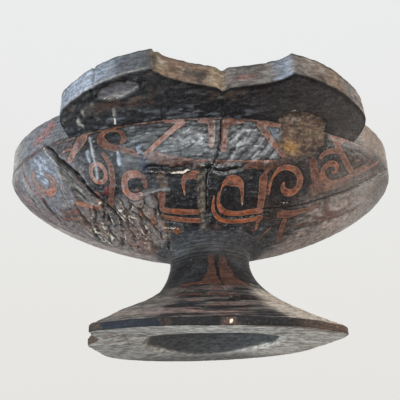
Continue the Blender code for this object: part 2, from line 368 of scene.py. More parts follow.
class Surface:
    """What each grid point of a skin has: relief in mm, colour, how its lacquer has fared, and painted
    shade, glints and sheen.

    A mark takes an amount, and may take a pattern with two values, as faded() does.
    """

    def __init__(self, points, colour):
        self.points = points
        shape = points.shape[:-1]
        self.height = np.zeros(shape)
        self.tint = np.broadcast_to(np.array(colour), (*shape, 3)).copy()
        self.paint = np.full(shape, FAR)        # signed distance to painted strokes
        self.tone = np.zeros(shape)             # 0 dull brown-red, 1 bright vermilion
        self.pale = np.zeros(shape)             # torn, pale ground showing, and painted glints and highlights
        self.dark = np.zeros(shape)             # depth of shade in cracks
        self.dry = np.zeros(shape)              # 0 glossy lacquer, 1 bare wood
        self.painted_sheen = np.zeros(shape)            # painted sheen that lightens the paint

    def lay_out(self, u, v):
        """Sets the two lengths that marks on this surface are placed by."""
        self.u, self.v, self.place = u, v, pair(u, v)

    def stain(self, colour, amount, *fade):
        self.tint += (np.array(colour) - self.tint) * faded(amount, *fade)[..., None]

    def wear(self, amount, *fade):
        self.dry = np.maximum(self.dry, faded(amount, *fade))

    # Pale torn ground; the same field carries painted glints and highlights.
    def tear(self, amount, *fade):
        self.pale = np.maximum(self.pale, faded(amount, *fade))

    def shade(self, amount, *fade):
        self.dark = np.maximum(self.dark, faded(amount, *fade))

    def lose_paint(self, amount, *fade):
        """Paint is gone where amount is 1."""
        self.paint = np.maximum(self.paint, faded(amount, *fade) * 2 * FAR - FAR)

    def draw(self, u, v, strokes):
        for tone, path in strokes:
            distance, width, _ = near_path(u, v, path)
            signed = distance - width / 2
            closer = signed < self.paint
            self.paint = np.where(closer, signed, self.paint)
            self.tone = np.where(closer, tone, self.tone)

    def away(self, knots, shift=0.0, drop=0.0):
        """(distance, side) to a line through knots, seen from places shifted and dropped a little."""
        distance, _, side = near_path(self.u + shift, self.v + drop, line_through(knots))
        return distance, side

    def broken_line(self, knots, width):
        """1 along a wandering line that fails in places."""
        wander = 0.6 * width * noise(self.place / 1.2, 85)
        distance, _ = self.away(knots, wander, wander)
        return ridge(distance, width) * smooth_step(noise(self.place / 1.9, 86), -0.8, -0.1)

    def tear_along(self, knots, width, amount):
        """A broken pale line of torn ground."""
        line = self.broken_line(knots, width)
        self.tear(amount * line)
        self.lose_paint(0.6 * line)

    def blot(self, colour, centre, radii, amount):
        """A ragged oval stain."""
        away = np.hypot((self.u - centre[0]) / radii[0], (self.v - centre[1]) / radii[1])
        self.stain(colour, amount, away + 0.45 * noise(self.place / 1.5, 87), 1.1, 0.7)

    def crack(self, knots, width, depth, lip, torn):
        """A ragged crack with raised lips; torn is how pale its lips are."""
        distance, side = self.away(knots, 0.35 * width * noise(self.place / 1.3, 91))
        self.height -= depth * ridge(distance, width)
        self.height += lip * ridge(distance - 1.8 * width, 1.3 * width)
        self.shade(ridge(distance, 0.9 * width))
        patchy = smooth_step(noise(self.place / 1.7, 92), -0.3, 0.3)
        self.tear(torn * patchy * ridge(distance - 1.7 * width, 0.6 * width) * (side > 0))


# ---------------------------------------------------------------- the bowl's measures

def oval(turn, half_length, half_width):
    """Plan x, y of a level of the bowl; turn is 0 in the front's middle, pi/2 at the +X end."""
    power = 2 / PLAN_POWER
    sine, cosine = np.sin(turn), np.cos(turn)
    return (half_length * np.sign(sine) * np.abs(sine) ** power,
            -half_width * np.sign(cosine) * np.abs(cosine) ** power)


def body_height(x, y):
    share = (np.abs(x) / LINE_HALF_LENGTH) ** PLAN_POWER + (np.abs(y) / LINE_HALF_WIDTH) ** PLAN_POWER
    share = np.minimum(1, share ** (1 / PLAN_POWER))
    return LINE_Z - BODY_DEPTH * (1 - share ** BODY_RADIAL_POWER) ** (1 / BODY_DEPTH_POWER)


def running_length(x, y):
    return np.concatenate([[0], np.cumsum(np.hypot(np.diff(x), np.diff(y)))])


LINE_TURNS = np.linspace(0, math.pi / 2, 4001)
LINE_LENGTHS = running_length(*oval(LINE_TURNS, LINE_HALF_LENGTH, LINE_HALF_WIDTH))
QUARTER = LINE_LENGTHS[-1]

MERIDIAN_Y = np.linspace(LINE_HALF_WIDTH, 0, 4001)
MERIDIAN_Z = body_height(0 * MERIDIAN_Y, MERIDIAN_Y)
MERIDIAN_LENGTHS = running_length(MERIDIAN_Y, MERIDIAN_Z)


def turn_at(length):
    """Turn at a signed length along the line from the front's middle, over the whole loop."""
    folded = QUARTER - np.abs(np.abs(length) - QUARTER)
    quarter = np.interp(folded, LINE_LENGTHS, LINE_TURNS)
    beyond = np.abs(length) > QUARTER
    return np.sign(length) * np.where(beyond, math.pi - quarter, quarter)


def length_beside(x, y):
    """Length along the line, from the middle of its own side, of the place nearest to x, y."""
    samples = np.linspace(0, QUARTER, 600)
    line_x, line_y = oval(np.interp(samples, LINE_LENGTHS, LINE_TURNS),
                          LINE_HALF_LENGTH, LINE_HALF_WIDTH)
    result = np.empty(x.shape)
    for row in range(x.shape[0]):
        away = (np.abs(x[row])[:, None] - line_x) ** 2 + (np.abs(y[row])[:, None] + line_y) ** 2
        result[row] = samples[away.argmin(1)]
    return result * np.sign(x)


def outward_normals(grid):
    """Unit normals of a grid whose columns close on themselves."""
    across = np.roll(grid, -1, 1) - np.roll(grid, 1, 1)
    return unit(np.cross(across, np.gradient(grid, axis=0)))


# ---------------------------------------------------------------- meshes

def strip(lower, upper):
    """Faces between two closed loops of vertex numbers; one may have half as many as the other."""
    if len(lower) == len(upper):
        return np.column_stack([lower, np.roll(lower, -1), np.roll(upper, -1), upper]).tolist()
    if len(lower) > len(upper):
        start, middle, end = lower[::2], lower[1::2], np.roll(lower[::2], -1)
        first, following = upper, np.roll(upper, -1)
        parts = [(start, middle, first), (middle, following, first), (middle, end, following)]
    else:
        start, middle, end = upper[::2], upper[1::2], np.roll(upper[::2], -1)
        first, following = lower, np.roll(lower, -1)
        parts = [(first, middle, start), (first, following, middle), (following, end, middle)]
    return [face for part in parts for face in np.column_stack(part).tolist()]


def skin_faces(loops, row_materials):
    """(faces, material number of each) between loops of vertex numbers and on the two end caps."""
    faces, used = [], []

    def add(new, material):
        faces.extend(new)
        used.extend([material] * len(new))

    for lower, upper, material in zip(loops, loops[1:], row_materials):
        add(strip(lower, upper), material)
    first_cap = loops[-1][-1] + 1
    for loop, cap, material in ((loops[0], first_cap, row_materials[0]),
                                (loops[-1][::-1], first_cap + 1, row_materials[-1])):
        fan = np.column_stack([np.roll(loop, -1), loop, np.full(len(loop), cap)])
        add(fan.tolist(), material)
    return faces, used


def make_skin(name, surface, strides, materials, node, row_materials=None):
    """One closed mesh from a grid of closed loops, capped at both ends, with its attributes."""
    picked = [np.arange(0, surface.points.shape[1], stride) for stride in strides]
    counts = [len(columns) for columns in picked]
    starts = np.cumsum([0, *counts])
    loops = [start + np.arange(count) for start, count in zip(starts, counts)]
    faces, used = skin_faces(loops, row_materials or [0] * len(strides))

    def flat(values):
        """The kept grid values in vertex order, with the two caps' own at the end."""
        kept = [row[columns] for row, columns in zip(values, picked)]
        return np.concatenate(kept + [kept[0].mean(0)[None], kept[-1].mean(0)[None]])

    mesh = bpy.data.meshes.new(name)
    mesh.from_pydata((flat(surface.points) * MM).tolist(), [], faces)
    for material in materials:
        mesh.materials.append(material)
    mesh.polygons.foreach_set("material_index", used)
    for field in ("paint", "tone", "pale", "dark", "dry", "painted_sheen"):
        attribute = mesh.attributes.new(field, "FLOAT", "POINT")
        attribute.data.foreach_set("value", flat(getattr(surface, field)))
    tint = np.clip(flat(surface.tint), 0, 1)
    attribute = mesh.attributes.new("tint", "FLOAT_COLOR", "POINT")
    attribute.data.foreach_set("color", np.column_stack([tint, np.ones(len(tint))]).ravel())
    mesh.shade_smooth()
    mesh.set_sharp_from_angle(angle=SHARP_ANGLE)
    mesh.validate()
    piece = bpy.data.objects.new(name, mesh)
    bpy.context.scene.collection.objects.link(piece)
    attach(piece, "root")
    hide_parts(node)
    return piece


def settle(surface, normals, node):
    """Moves the grid out by its relief, and keeps it inside the CAD node's own box."""
    low, high = (np.array(corner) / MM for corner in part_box(node))
    surface.points = np.clip(surface.points + normals * surface.height[..., None], low, high)


# ---------------------------------------------------------------- painted ornament

def boundary_band():
    """The thin line and the dull band that part the zone under the ear from the scrolls."""
    return [
        stroke(0.55, 0.6, (-26.5, 11.2), (-22, 13.2), (-16, 14.8), (-10, 15.9), (-2, 16.3),
               (8, 16.1), (16.5, 15.5), (22.8, 14.8)),
        stroke(0.22, 2.8, (-27.5, 12.6), (-24.5, 14.8), (-20, 16.2), (-10, 17.4), (-2, 17.5),
               (8.4, 17.6), (16.8, 17.2), (21.9, 16.5), (26.4, 14.8), (28.2, 13)),
    ]


def right_half_strokes():
    """Bands, hooks and spirals of the half towards +X; the back wears them on both halves."""
    return [
        stroke(0.42, (2.8, 2.6), (2, 1.8), (1.3, 6.7), (1, 11.5)),
        stroke(0.42, (2.4, 0.6), (2, 1.8), (5.5, 1.6), (9, 1.5)),
        stroke(0.62, (2.6, 1.9), (15.1, 2.1), (17.2, 4.5), (19.8, 7.2), (22.2, 9.2), (24.8, 11.5),
               (26.8, 12.8)),
        stroke(0.60, (1.4, 0.9), (15.9, 1.7), (19.9, 1.5), (24.1, 1.7)),
        stroke(0.82, (0.5, 0.6, 1.6, 4.0, 4.4, 3.2, 1.6, 0.9), (1.3, 32.2), (1.3, 27.8), (2.4, 25.3),
               (4.5, 24), (7.1, 23.9), (9.5, 25), (10.9, 27.5), (12.2, 33.2)),
        stroke(0.88, (0.8, 1.4, 2.2, 3.0, 2.6, 2.4, 2.5, 2.7), (0.4, 28.7), (0.2, 32.2), (1.1, 34.9),
               (4.1, 37.8), (8.4, 38.4), (13.5, 37.9), (18.4, 36.7), (22.5, 36.1)),
        stroke(0.88, (0.6, 1.2, 1.8, 2.4, 2.3, 2.2, 2.2, 2.3, 2.8), (-2, 30.4), (-2.3, 34),
               (-1.8, 37.3), (0.6, 40.3), (3.7, 41.9), (8.3, 42.5), (14.7, 41.9), (19.9, 40.6),
               (23.9, 39.4)),
        stroke(0.80, (2.0, 1.0), (23.1, 39), (23.7, 42.1), (24.5, 45.3)),
        spiral(0.30, (0.8, 0.4), (22.6, 44.9), (1.9, 0.4), -20, 400),
        stroke(0.60, (3.6, 3.2), (19.5, 22.2), (20.4, 26.9), (21.8, 33.8)),
        stroke(0.45, 1.4, (19.7, 20.2), (21.3, 17.7), (23.2, 16.3)),
        stroke(0.20, 0.6, (22.6, 22.3), (22.9, 26.5), (24.6, 32.1)),
        stroke(0.86, (0.5, 0.8, 1.0, 1.6, 2.0, 2.2, 2.5, 2.8, 2.9, 3.0, 2.8, 2.0, 1.0),
               (24.2, 28.5), (23.4, 24.5), (23.6, 21.2), (24.9, 18.6), (27.1, 17), (29.9, 16.5),
               (33.3, 17.2), (36, 19.3), (37.2, 22.5), (36.4, 25), (34.1, 26.3), (31.3, 26),
               (29.5, 24.5), (29.4, 22.8)),
        stroke(0.38, (3.0, 4.6), (39.8, 12), (43.4, 17.3), (47, 21.3)),
        stroke(0.42, (1.0, 3.0, 1.6), (43.5, 21.8), (47.5, 22.9), (51.3, 20.7)),
        stroke(0.50, 1.3, (48, 22.2), (53.6, 19.3), (59.5, 16.3), (64.1, 13), (69.2, 9.5),
               (75, 5.5), (79.3, 2.3)),
        stroke(0.35, 1.2, (46.3, 25.1), (52.2, 21.8), (59.7, 18.2), (65.4, 14.4)),
        stroke(0.78, (0.5, 1.2, 2.0, 2.4, 2.3, 2.2, 2.2, 2.2, 2.1, 1.8, 1.3, 0.9, 0.6),
               (62.5, 12.9), (59.4, 15.5), (55.7, 17.8), (51.5, 18.6), (48.3, 17.4), (46.7, 15.5),
               (46.9, 13.3), (48.7, 11.7), (51.2, 11.1), (53.3, 12), (53.6, 13.6), (52.3, 14.5),
               (50.9, 14)),
        stroke(0.64, 1.8, (53, 5.9), (48.6, 6.4), (45.3, 8.1), (43.4, 10)),
        stroke(0.70, 2.6, (49.6, 3.1), (53, 5.9), (56.4, 8.4), (61.3, 11.2)),
        stroke(0.82, (1.0, 3.6, 2.4), (46.8, 1.3), (50.2, 1.9), (53.4, 0.6)),
        stroke(0.45, 0.8, (50, 0.4), (60, 0.4), (70, 0.5)),
        spiral(0.35, (1.0, 0.5), (62.8, 5), (2.3, 0.5), 0, 380),
        stroke(0.38, 1.2, (65.3, 0.5), (69.8, 0.7), (72.6, 2), (71.4, 5.4), (67, 8.8), (63, 11.6)),
        stroke(0.40, (2.0, 2.2, 1.8, 1.6), (57.3, 25.6), (59.5, 28.3), (64.7, 30), (69.8, 28.4),
               (73.1, 25.9), (75.9, 23.7), (74.2, 21.3), (70.6, 20)),
        stroke(0.55, (4.0, 1.0), (34.5, 36), (39.7, 35.2), (44.8, 33), (49.7, 30.7), (53.3, 28.3)),
        stroke(0.48, 2.8, (38.6, 38.9), (40.5, 43.3), (44.8, 48.7)),
        stroke(0.50, 1.2, (32.6, 43.6), (30.6, 48.5), (29.7, 53)),
        stroke(0.30, (1.2, 0.6), (46, 40), (56, 37), (66, 33)),
        stroke(0.30, (0.8, 1.6), (56, 34), (70, 30.5), (84, 22)),
    ]


def left_half_strokes():
    """The front's half towards -X, drawn a little differently and more broken."""
    return [
        stroke(0.42, (2.6, 2.2), (-3.5, 1.9), (-3.3, 6.8), (-3.7, 10.4)),
        stroke(0.42, (2.2, 0.6), (-3.5, 1.9), (-6, 1.6), (-8.5, 1.5)),
        stroke(0.80, (1.9, 1.4), (-14, 1.8), (-18, 4.3), (-23, 7.9), (-27, 10.6), (-30, 12.3)),
        stroke(0.60, (1.8, 0.9), (-14, 1.8), (-17, 1.2), (-20.5, 1.0)),
        stroke(0.42, (1.6, 1.6, 1.8, 2.2, 2.8, 3.2, 1.8, 0.8, 1.3, 1.8, 0.9), (-29.5, 12.7),
               (-32.2, 12), (-35, 10.2), (-39, 8.8), (-43.5, 6.9), (-46, 4.1), (-44.8, 1.8),
               (-41, 1.4), (-37.6, 3), (-36.7, 5.4), (-38, 6.6)),
        stroke(0.75, (2.0, 2.4, 3.8, 2.8), (-61.5, 8.3), (-58.6, 5.9), (-55, 2.9), (-53, 1.4)),
        stroke(0.45, (0.9, 0.5), (-58, 5), (-62, 4.4), (-66, 5.4)),
        ring(0.30, 0.5, (-65, 7), (1.4, 2.0), 0, 290),
        ring(0.80, 1.6, (-50.8, 15.8), (3.3, 3.6), -165, 170),
        stroke(0.45, (1.6, 2.4, 2.2), (-46, 9.8), (-44.5, 13.8), (-45.4, 19.6), (-48, 24),
               (-51, 28.5)),
        stroke(0.84, (2.7, 2.9, 2.6, 2.8, 3.0, 2.4), (-34.5, 18.9), (-38, 18.8), (-40.4, 21),
               (-41, 25), (-38.4, 27.6), (-34.6, 27.5)),
        stroke(0.40, (2.6, 2.0, 1.6), (-34.5, 18.9), (-32, 20.5), (-31.8, 24.2)),
        stroke(0.86, (1.5, 1.8, 2.0, 2.6, 3.0, 3.0, 2.4, 1.2), (-83.4, 7), (-85.3, 9.7), (-85, 13.3),
               (-82.3, 16), (-77.8, 16), (-75.2, 13.9), (-75.2, 11.5), (-76.9, 10.1)),
        stroke(0.80, (0.6, 1.3, 2.6, 3.2, 3.2), (-15.2, 29.5), (-15.5, 24.6), (-14, 22),
               (-11.5, 21.3), (-9, 22)),
        stroke(0.50, 3.4, (-25.4, 27.8), (-26.2, 30.8), (-27.4, 34.6)),
        stroke(0.80, (2.4, 2.4), (-29, 34.4), (-23, 36), (-16, 37.2), (-9, 37.7)),
        stroke(0.80, (2.2, 2.4), (-30, 37.6), (-24, 39.4), (-16.5, 41.1), (-9, 42.1)),
        stroke(0.45, 2.0, (-82.7, 24.6), (-77, 26.2), (-71.6, 27)),
        stroke(0.62, (1.2, 1.6, 1.0), (-88.8, 25.9), (-79.2, 28.8), (-73.6, 31.4), (-69.3, 33)),
        stroke(0.35, 1.8, (-62, 30), (-57, 33), (-52, 33.6)),
    ]


def lip_strokes():
    """Crescents on the lip band beyond the ears; v is negative up the band."""
    return [stroke(0.35, (3.0, 4.5, 1.5), (70, -2.5), (76, -5.5), (83, -8)),
            stroke(0.30, (1.0, 1.6), (88, -3), (98, -6), (108, -7))]


# ---------------------------------------------------------------- damage on the front

SPLIT = curve_through(with_width(
    [(-72.3, -0.4), (-70.6, 1.2), (-68.4, 4.2), (-65.8, 8), (-63.2, 11.4), (-60.7, 15.1),
     (-58.6, 20), (-56.4, 23.9), (-53.8, 28), (-51.6, 32.6), (-50.7, 36.9), (-52.6, 40.5),
     (-55.4, 43.5), (-62, 46)], (1.3, 2.5, 2.3, 1.7, 1.3, 1.1, 1.0)))
SPLIT_EDGE = [(-73.4, -0.4), (-72.6, 1.2), (-70.8, 4.5), (-68.7, 7.5), (-67.4, 9.9)]
WEDGE = [(-69, 8.5), (-66.7, 10), (-64, 14.5), (-61.3, 19.4), (-58.7, 23.8), (-57.5, 27),
         (-62, 27.4), (-65.6, 25.6), (-68, 23.7), (-66.2, 20.7), (-67, 17.2), (-68.4, 13.6)]
WEDGE_FOOT = [(-69, 24), (-65.6, 25.8), (-62, 27.6), (-57, 28.2), (-55.2, 23.4)]
BARE_PATCH = [(24.2, -3), (23.8, 4.9), (23.5, 9.4), (24.6, 10.8), (26.7, 12), (29.1, 12.9), (32, 13.2),
              (34.5, 12), (38, 10.7), (41.3, 8.1), (43.8, 6), (45.2, 5.4), (44.8, 3), (44, -3)]
RAGGED_CRACKS = [
    [(-70.8, 24.5), (-70.8, 28.4), (-71.4, 32), (-71.2, 34.5), (-79.8, 37.9)],
    [(-54.7, 28.1), (-56.7, 31.3), (-60.9, 34.6), (-62, 37.3), (-65, 40.6), (-73.4, 43.5)],
    [(-41.8, 34), (-39, 36.7), (-39.5, 43.2), (-38.3, 47.8)],
    [(-37.9, 32.6), (-36, 37.2), (-33.7, 41.1), (-31.4, 45.8), (-31, 49.3)],
    [(-88.5, 17), (-89.7, 20.3), (-91.1, 23.8), (-93.5, 26.2)],
    [(-46.5, 31.5), (-46.2, 36), (-48.4, 41), (-47.5, 47)],
    [(-60.5, 27.8), (-62.4, 31), (-67.4, 33.6)],
]
TORN_PATCHES = [((-71.8, 35.6), (1.5, 2.2)), ((-76, 38), (1.1, 1.6)), ((-62.8, 36.4), (1.3, 2.4)),
                ((-64.4, 40.6), (1.5, 2.0)), ((-72.4, 41.6), (1.2, 2.0)), ((-55.6, 26.6), (0.7, 0.4)),
                ((-47.6, 32.4), (1.8, 0.8)), ((-38.6, 44.5), (0.9, 3.2)), ((-56, 44), (1.2, 2.2))]
LONG_CRACK = [(90.1, 1.3), (84.1, 5.5), (79.8, 9.3), (73.3, 13.5), (68.6, 16.5), (64.9, 19.3),
              (57.2, 23.3), (51.4, 26.4), (45.1, 29.4), (37.6, 32.1), (29.8, 34), (23.1, 35.1)]
SECOND_CRACK = [(27, 36.3), (22.2, 38.1), (15.7, 39.9), (8, 40.4), (2, 39)]
CENTRE_CRACK = [(0.1, 1), (0.1, 6.7), (-0.6, 12.2), (-2.5, 17.1), (-4.1, 19), (-5.3, 21.7),
                (-5.7, 28), (-5.4, 35), (-5.7, 42)]
# Raised folds with painted glints: knots, width, colour of the glint, amount.
GLINT_RIDGES = [([(-50.5, 2.4), (-50.3, 7.8), (-50.5, 11.5), (-51.6, 17.9)], 0.42, FROST, 1.0),
                ([(-52.4, 7), (-52.6, 11)], 0.5, PALE_BLUE, 0.8),
                ([(-39.8, 8.6), (-39.9, 14.6)], 0.55, PALE_BLUE, 0.9),
                ([(-31.4, 9.6), (-31, 12.1), (-30.3, 17.1)], 1.2, INK_BLUE, 1.0),
                ([(-31.2, 9.2), (-30.9, 11.0)], 0.5, PALE_BLUE, 0.9),
                ([(-35, 27.5), (-30.5, 26.8), (-26.3, 26.6), (-21.6, 26.8)], 0.38, FROST, 0.6)]
LENS_FLAKE = [(-29.2, 18.5), (-26.4, 18.8), (-22.7, 19.6), (-18.7, 20.1), (-15.2, 20.1), (-12.6, 19.1)]
RIGHT_FLAKE = [(-7.6, 18.1), (-5.5, 17.4), (-3, 17.4), (-1.1, 18.5), (1.9, 18.9), (4.8, 18.5),
               (6.9, 17.5), (8.4, 17.2)]
# Places where painted sheen lightens the paint: span of u, span of v and amount.
SHEEN_PLACES = [((-31, -2), (-1, 12), 0.22), ((-64, -49), (1, 19), 0.20),
                 ((-42, -35), (19, 28), 0.22)]
LIP_SMEAR = [(-77.5, -4), (-73, -5.4), (-68.5, -7.8)]
TAN_STRIP = [(-7.8, 19.7), (-7.9, 27.7), (-7.7, 36.7), (-7.2, 47.3)]
BLACK_COLUMN = [(-42.4, 13), (-43.6, 19), (-46.2, 25), (-48.6, 30.6)]
BLOTS = [(OXBLOOD, (-49.4, 23.2), (2.0, 2.8), 1.0), (OXBLOOD, (-43.6, 39.5), (2.0, 4.2), 0.9),
         (BLACK, (-36.2, 23.4), (2.8, 2.6), 1.0), (ROSE, (-36.2, 25.2), (1.0, 0.9), 0.8),
         (BLACK, (5.6, 29.8), (3.4, 3.6), 1.0), (WOOD, (-24.2, 23.4), (2.4, 3.6), 0.55),
         (BLUE_GREY, (21, 4.0), (2.0, 2.4), 1.0), (RUST, (-21.3, 46.8), (3.0, 1.8), 0.9),
         (RUST, (-49.5, 47.5), (2.2, 4.0), 0.9), (RUST, (-44.5, 33.6), (1.6, 2.4), 0.9)]
TORN_LINES = [([(-28.7, 42.9), (-25.2, 44.5), (-21, 45.5)], 0.4, 0.8),
              ([(-51.2, 32.5), (-46.7, 34.8), (-41.4, 36.8)], 0.5, 0.8),
              ([(-41.2, 41.9), (-42, 51.7)], 0.5, 0.8),
              ([(12.4, 33.6), (16.5, 34.4)], 0.5, 1.0),
              ([(31.6, 31), (36.5, 30.5), (42.6, 30.4)], 0.4, 0.7)]
CHIPS = [(69.2, 17.7), (59.9, 42.4), (93.5, 32.7)]
PALE_CURLS = [
    [(-10.6, 8.9), (-9.2, 9.8), (-7.7, 8.7), (-7.3, 7.3), (-9.1, 7)],
    [(5.5, 8.6), (6.6, 6.9), (8.4, 7.1), (9.7, 8.4), (8.9, 9.6), (7.6, 9.1)],
    [(7.1, 9.9), (5.8, 13.1), (4.5, 16)],
    [(15.6, 11.9), (14, 13.7), (13, 15.8)],
    [(6.7, 6.6), (8.5, 5), (11.2, 4.3)],
    [(-16.2, 7.4), (-12.4, 9.6)],
]


def zone(value, low, high, soft):
    """1 between low and high, fading over soft outside them."""
    return smooth_step(value, low - soft, low) * smooth_step(value, high + soft, high)


def plain_lacquer(surface, u, v):
    """Low swells, fine wrinkles, pits with painted shade in them, scratches, grey haze, and pale specks
    painted as tiny glints, that all the old lacquer has.
    """
    points = surface.points
    surface.height += 0.20 * fractal(points, 9.0, 3) + 0.12 * fractal(points, 2.4, 11)
    wrinkles = streaks(u, v, 4, 4.5, 0.9, 35)
    surface.height += 0.16 * wrinkles
    surface.stain(SLATE, 0.85, fractal(points, 7.0, 23, 4), -0.15, 0.4)
    surface.stain(BROWN, 0.6, fractal(points, 6.0, 31), 0.1, 0.5)
    surface.stain(BLUE_GREY, 0.5, fractal(points, 3.0, 33), 0.2, 0.6)
    surface.stain(ASH, 0.6, streaks(u, v, 12, 5.0, 0.8, 37), 0.15, 0.5)
    surface.stain(BLACK, 0.8, streaks(u, v, 20, 3.0, 1.2, 38), -0.1, -0.45)
    surface.stain(FROST, 0.45, streaks(u, v, 8, 2.4, 0.6, 45), 0.35, 0.6)
    pits = smooth_step(noise(points / 0.8, 39), 0.62, 0.9)
    surface.height -= 0.20 * pits
    surface.shade(0.6 * pits)
    # Pale specks painted as tiny glints.
    surface.tear(0.62, noise(points / 1.0, 43), 0.78, 0.97)
    surface.wear(0.35, fractal(points, 5.0, 41), -0.1, 0.6)


def pleats(surface, u, v):
    """Shrunken, pleated lacquer below the ear: relief, with painted sheen over it, painted highlights on
    the folds and painted shade in the creases.
    """
    place = surface.place
    under_ear = zone(u, -34, 27, 6) * zone(v, 2.5, 14, 2.5)
    bent = v + 0.9 * noise(place / 5.0, 55)
    waves = streaks(u, bent, 4, 7.0, 1.1, 51)
    creases = streaks(u, bent, -3, 6.5, 0.5, 57, 2)
    surface.height += under_ear * (0.30 * waves + 0.25 * creases)
    # Painted sheen: grey over the pleats and paler on the raised folds, with black painted shade in the
    # creases.
    surface.stain(SLATE, 0.8 * under_ear)
    surface.stain(FOLD_SHEEN, 0.85 * under_ear, waves, -0.4, 0.3)
    surface.stain(BLACK, 0.8 * under_ear, creases, -0.12, -0.40)
    surface.stain(FROST, 0.60 * under_ear, creases + 0.3 * waves, 0.36, 0.60)
    # Slanting pleats: painted highlight on their crests and painted shade in their troughs.
    slant = zone(u, 4, 23, 3) * zone(v, 4, 15, 3)
    phase = 1.25 * u + 0.85 * v + 1.5 * noise(place / 5.0, 53)
    surface.height += 0.24 * slant * np.sin(phase)
    surface.stain(FOLD_HIGHLIGHT, 0.6 * slant, np.sin(phase), 0.1, 0.8)
    surface.stain(BLACK, 0.6 * slant, np.sin(phase), -0.55, -0.95)
    for knots in PALE_CURLS:
        surface.stain(FROST, 0.9 * surface.broken_line(knots, 0.5))


def worn_ends(surface, u, v):
    """Rubbed, streaked lacquer at the bowl's two ends: bluish and rose with a painted glare on the left,
    and hazy brown-grey on the right, its haze partly painted sheen.
    """
    left = smooth_step(u, -52, -70) * smooth_step(v, -4, 3)
    slanting = streaks(u, v, 108, 9.0, 1.4, 61, 4)
    surface.stain(DULL_LILAC, 0.8 * left)
    surface.stain(BLUE_GREY, 0.8 * left, slanting, -0.05, -0.3)
    surface.stain(BLACK, 0.85 * left, slanting, 0.06, 0.34)
    surface.stain(ROSE, 0.85 * left, streaks(u, v, 75, 8.0, 1.5, 65), 0.12, 0.42)
    surface.stain(PALE_ASH, 0.6 * left, streaks(u, v, 100, 6.0, 0.9, 67), 0.18, 0.45)
    surface.stain(DUSTY_ROSE, 0.45 * left, v, 17, 30)
    surface.height += 0.18 * left * slanting
    # Painted glare: a pale blue reflection painted over the left end, on crumpled relief.
    glare = np.hypot((u + 77.5) / 7.0, (v - 7.0) / 6.5) + 0.25 * noise(surface.place / 3.0, 64)
    crumpled = streaks(u, v, 40, 2.6, 0.8, 66)
    surface.stain(BLUE_GREY, 0.6, glare, 1.4, 0.7)
    surface.stain(PALE_BLUE, 0.8 * smooth_step(glare, 1.05, 0.5), crumpled, 0.0, 0.35)
    surface.height += 0.35 * smooth_step(glare, 1.1, 0.6) * crumpled

    right = smooth_step(u, 34, 60) * smooth_step(v, 20, 34)
    banded = streaks(u, v, 150, 9.0, 1.6, 69, 4)
    surface.stain(BROWN, 0.28 * zone(u, 24, 110, 8) * zone(v, 12, 40, 4))
    surface.stain(BLACK, 0.70 * zone(u, 26, 42, 4) * zone(v, 17, 31, 3))
    # Pale haze on the lower right: dust together with painted sheen.
    surface.stain(HAZE_AND_SHEEN, 0.9 * right, banded, -0.5, 0.3)
    surface.stain(PALE_ASH, 0.5 * right, streaks(u, v, 155, 7.0, 1.1, 70), 0.1, 0.45)
    surface.stain(ROSE, 0.5 * right, banded, 0.1, 0.5)
    surface.stain(WARM_BROWN, 0.7 * smooth_step(u, 44, 68) * zone(v, 2, 22, 4))
    surface.stain(HAZE, 0.8 * smooth_step(u, 62, 84), v, 12, 18)
    surface.stain(LIP_BROWN, 0.80 * smooth_step(u, 58, 70), v, 1, -2)
    surface.stain(LIP_GREY, 0.8 * smooth_step(u, -55, -62), v, 0, -1.5)
    smear, _ = surface.away(LIP_SMEAR)
    ragged = smear + 1.1 * noise(surface.place / 1.5, 62)
    surface.stain(SMEAR_RED, 0.7, ragged, 2.8, 1.2)
    surface.stain(PALE_ASH, 0.9 * smooth_step(u, -88, -100), v, 6, 0)
    # More pale haze with painted sheen, lower down the right end.
    surface.stain(PALE_HAZE_AND_SHEEN, 0.60 * smooth_step(u, 54, 76), v, 17, 27)
    surface.shade(0.15 * zone(u, 50, 86, 6) * zone(v, 2, 17, 4))
    surface.wear(0.45 * np.maximum(left, right))


def crazed_ground(surface, u, v):
    """Lacquer broken into curling tall cells at the lower left, with ragged cracks through it."""
    amount = zone(u, -84, -29, 5) * smooth_step(v, 24, 31)
    place = surface.place
    warp = pair(noise(place / 4.0, 71), noise(place / 4.0, 72))
    border, value = cells((place + 1.8 * warp) / (5.5, 12.0), 73)
    _, patch = cells((place + warp) / (1.8, 3.4), 77)
    layers = streaks(u, v, 97, 4.5, 0.8, 79)
    surface.stain(CRAZED_BROWN, 0.9 * amount)
    surface.stain(PALE_ASH, 0.7 * amount, layers + 0.03 * (v - 38), 0.05, 0.4)
    surface.stain(BLACK, 0.7 * amount, layers, -0.22, -0.5)
    surface.stain(RUST, 0.6 * amount * smooth_step(patch, 0.5, 0.7) * (value > 0.1))
    surface.stain(LILAC, 0.7 * amount, patch, -0.3, -0.6)
    surface.stain(ROSE_BROWN, 0.55 * amount * smooth_step(v, 37, 45) * zone(u, -56, -40, 4))
    surface.height += amount * (0.5 * value + 0.22 * layers + 0.12 * patch - 0.9 * ridge(border, 0.09))
    surface.shade(amount * ridge(border, 0.075))
    surface.tear(0.7 * amount * (patch > 0.1) * ridge(border - 0.17, 0.07))
    surface.wear(0.5 * amount)
    surface.lose_paint(0.55 * amount)
    for knots in RAGGED_CRACKS:
        surface.crack(knots, 0.55, 1.1, lip=0.4, torn=0.5)
    for centre, radii in TORN_PATCHES:
        away = np.hypot((u - centre[0]) / radii[0], (v - centre[1]) / radii[1])
        surface.tear(smooth_step(away + 0.6 * noise(place / 1.1, 89), 1.2, 0.6))


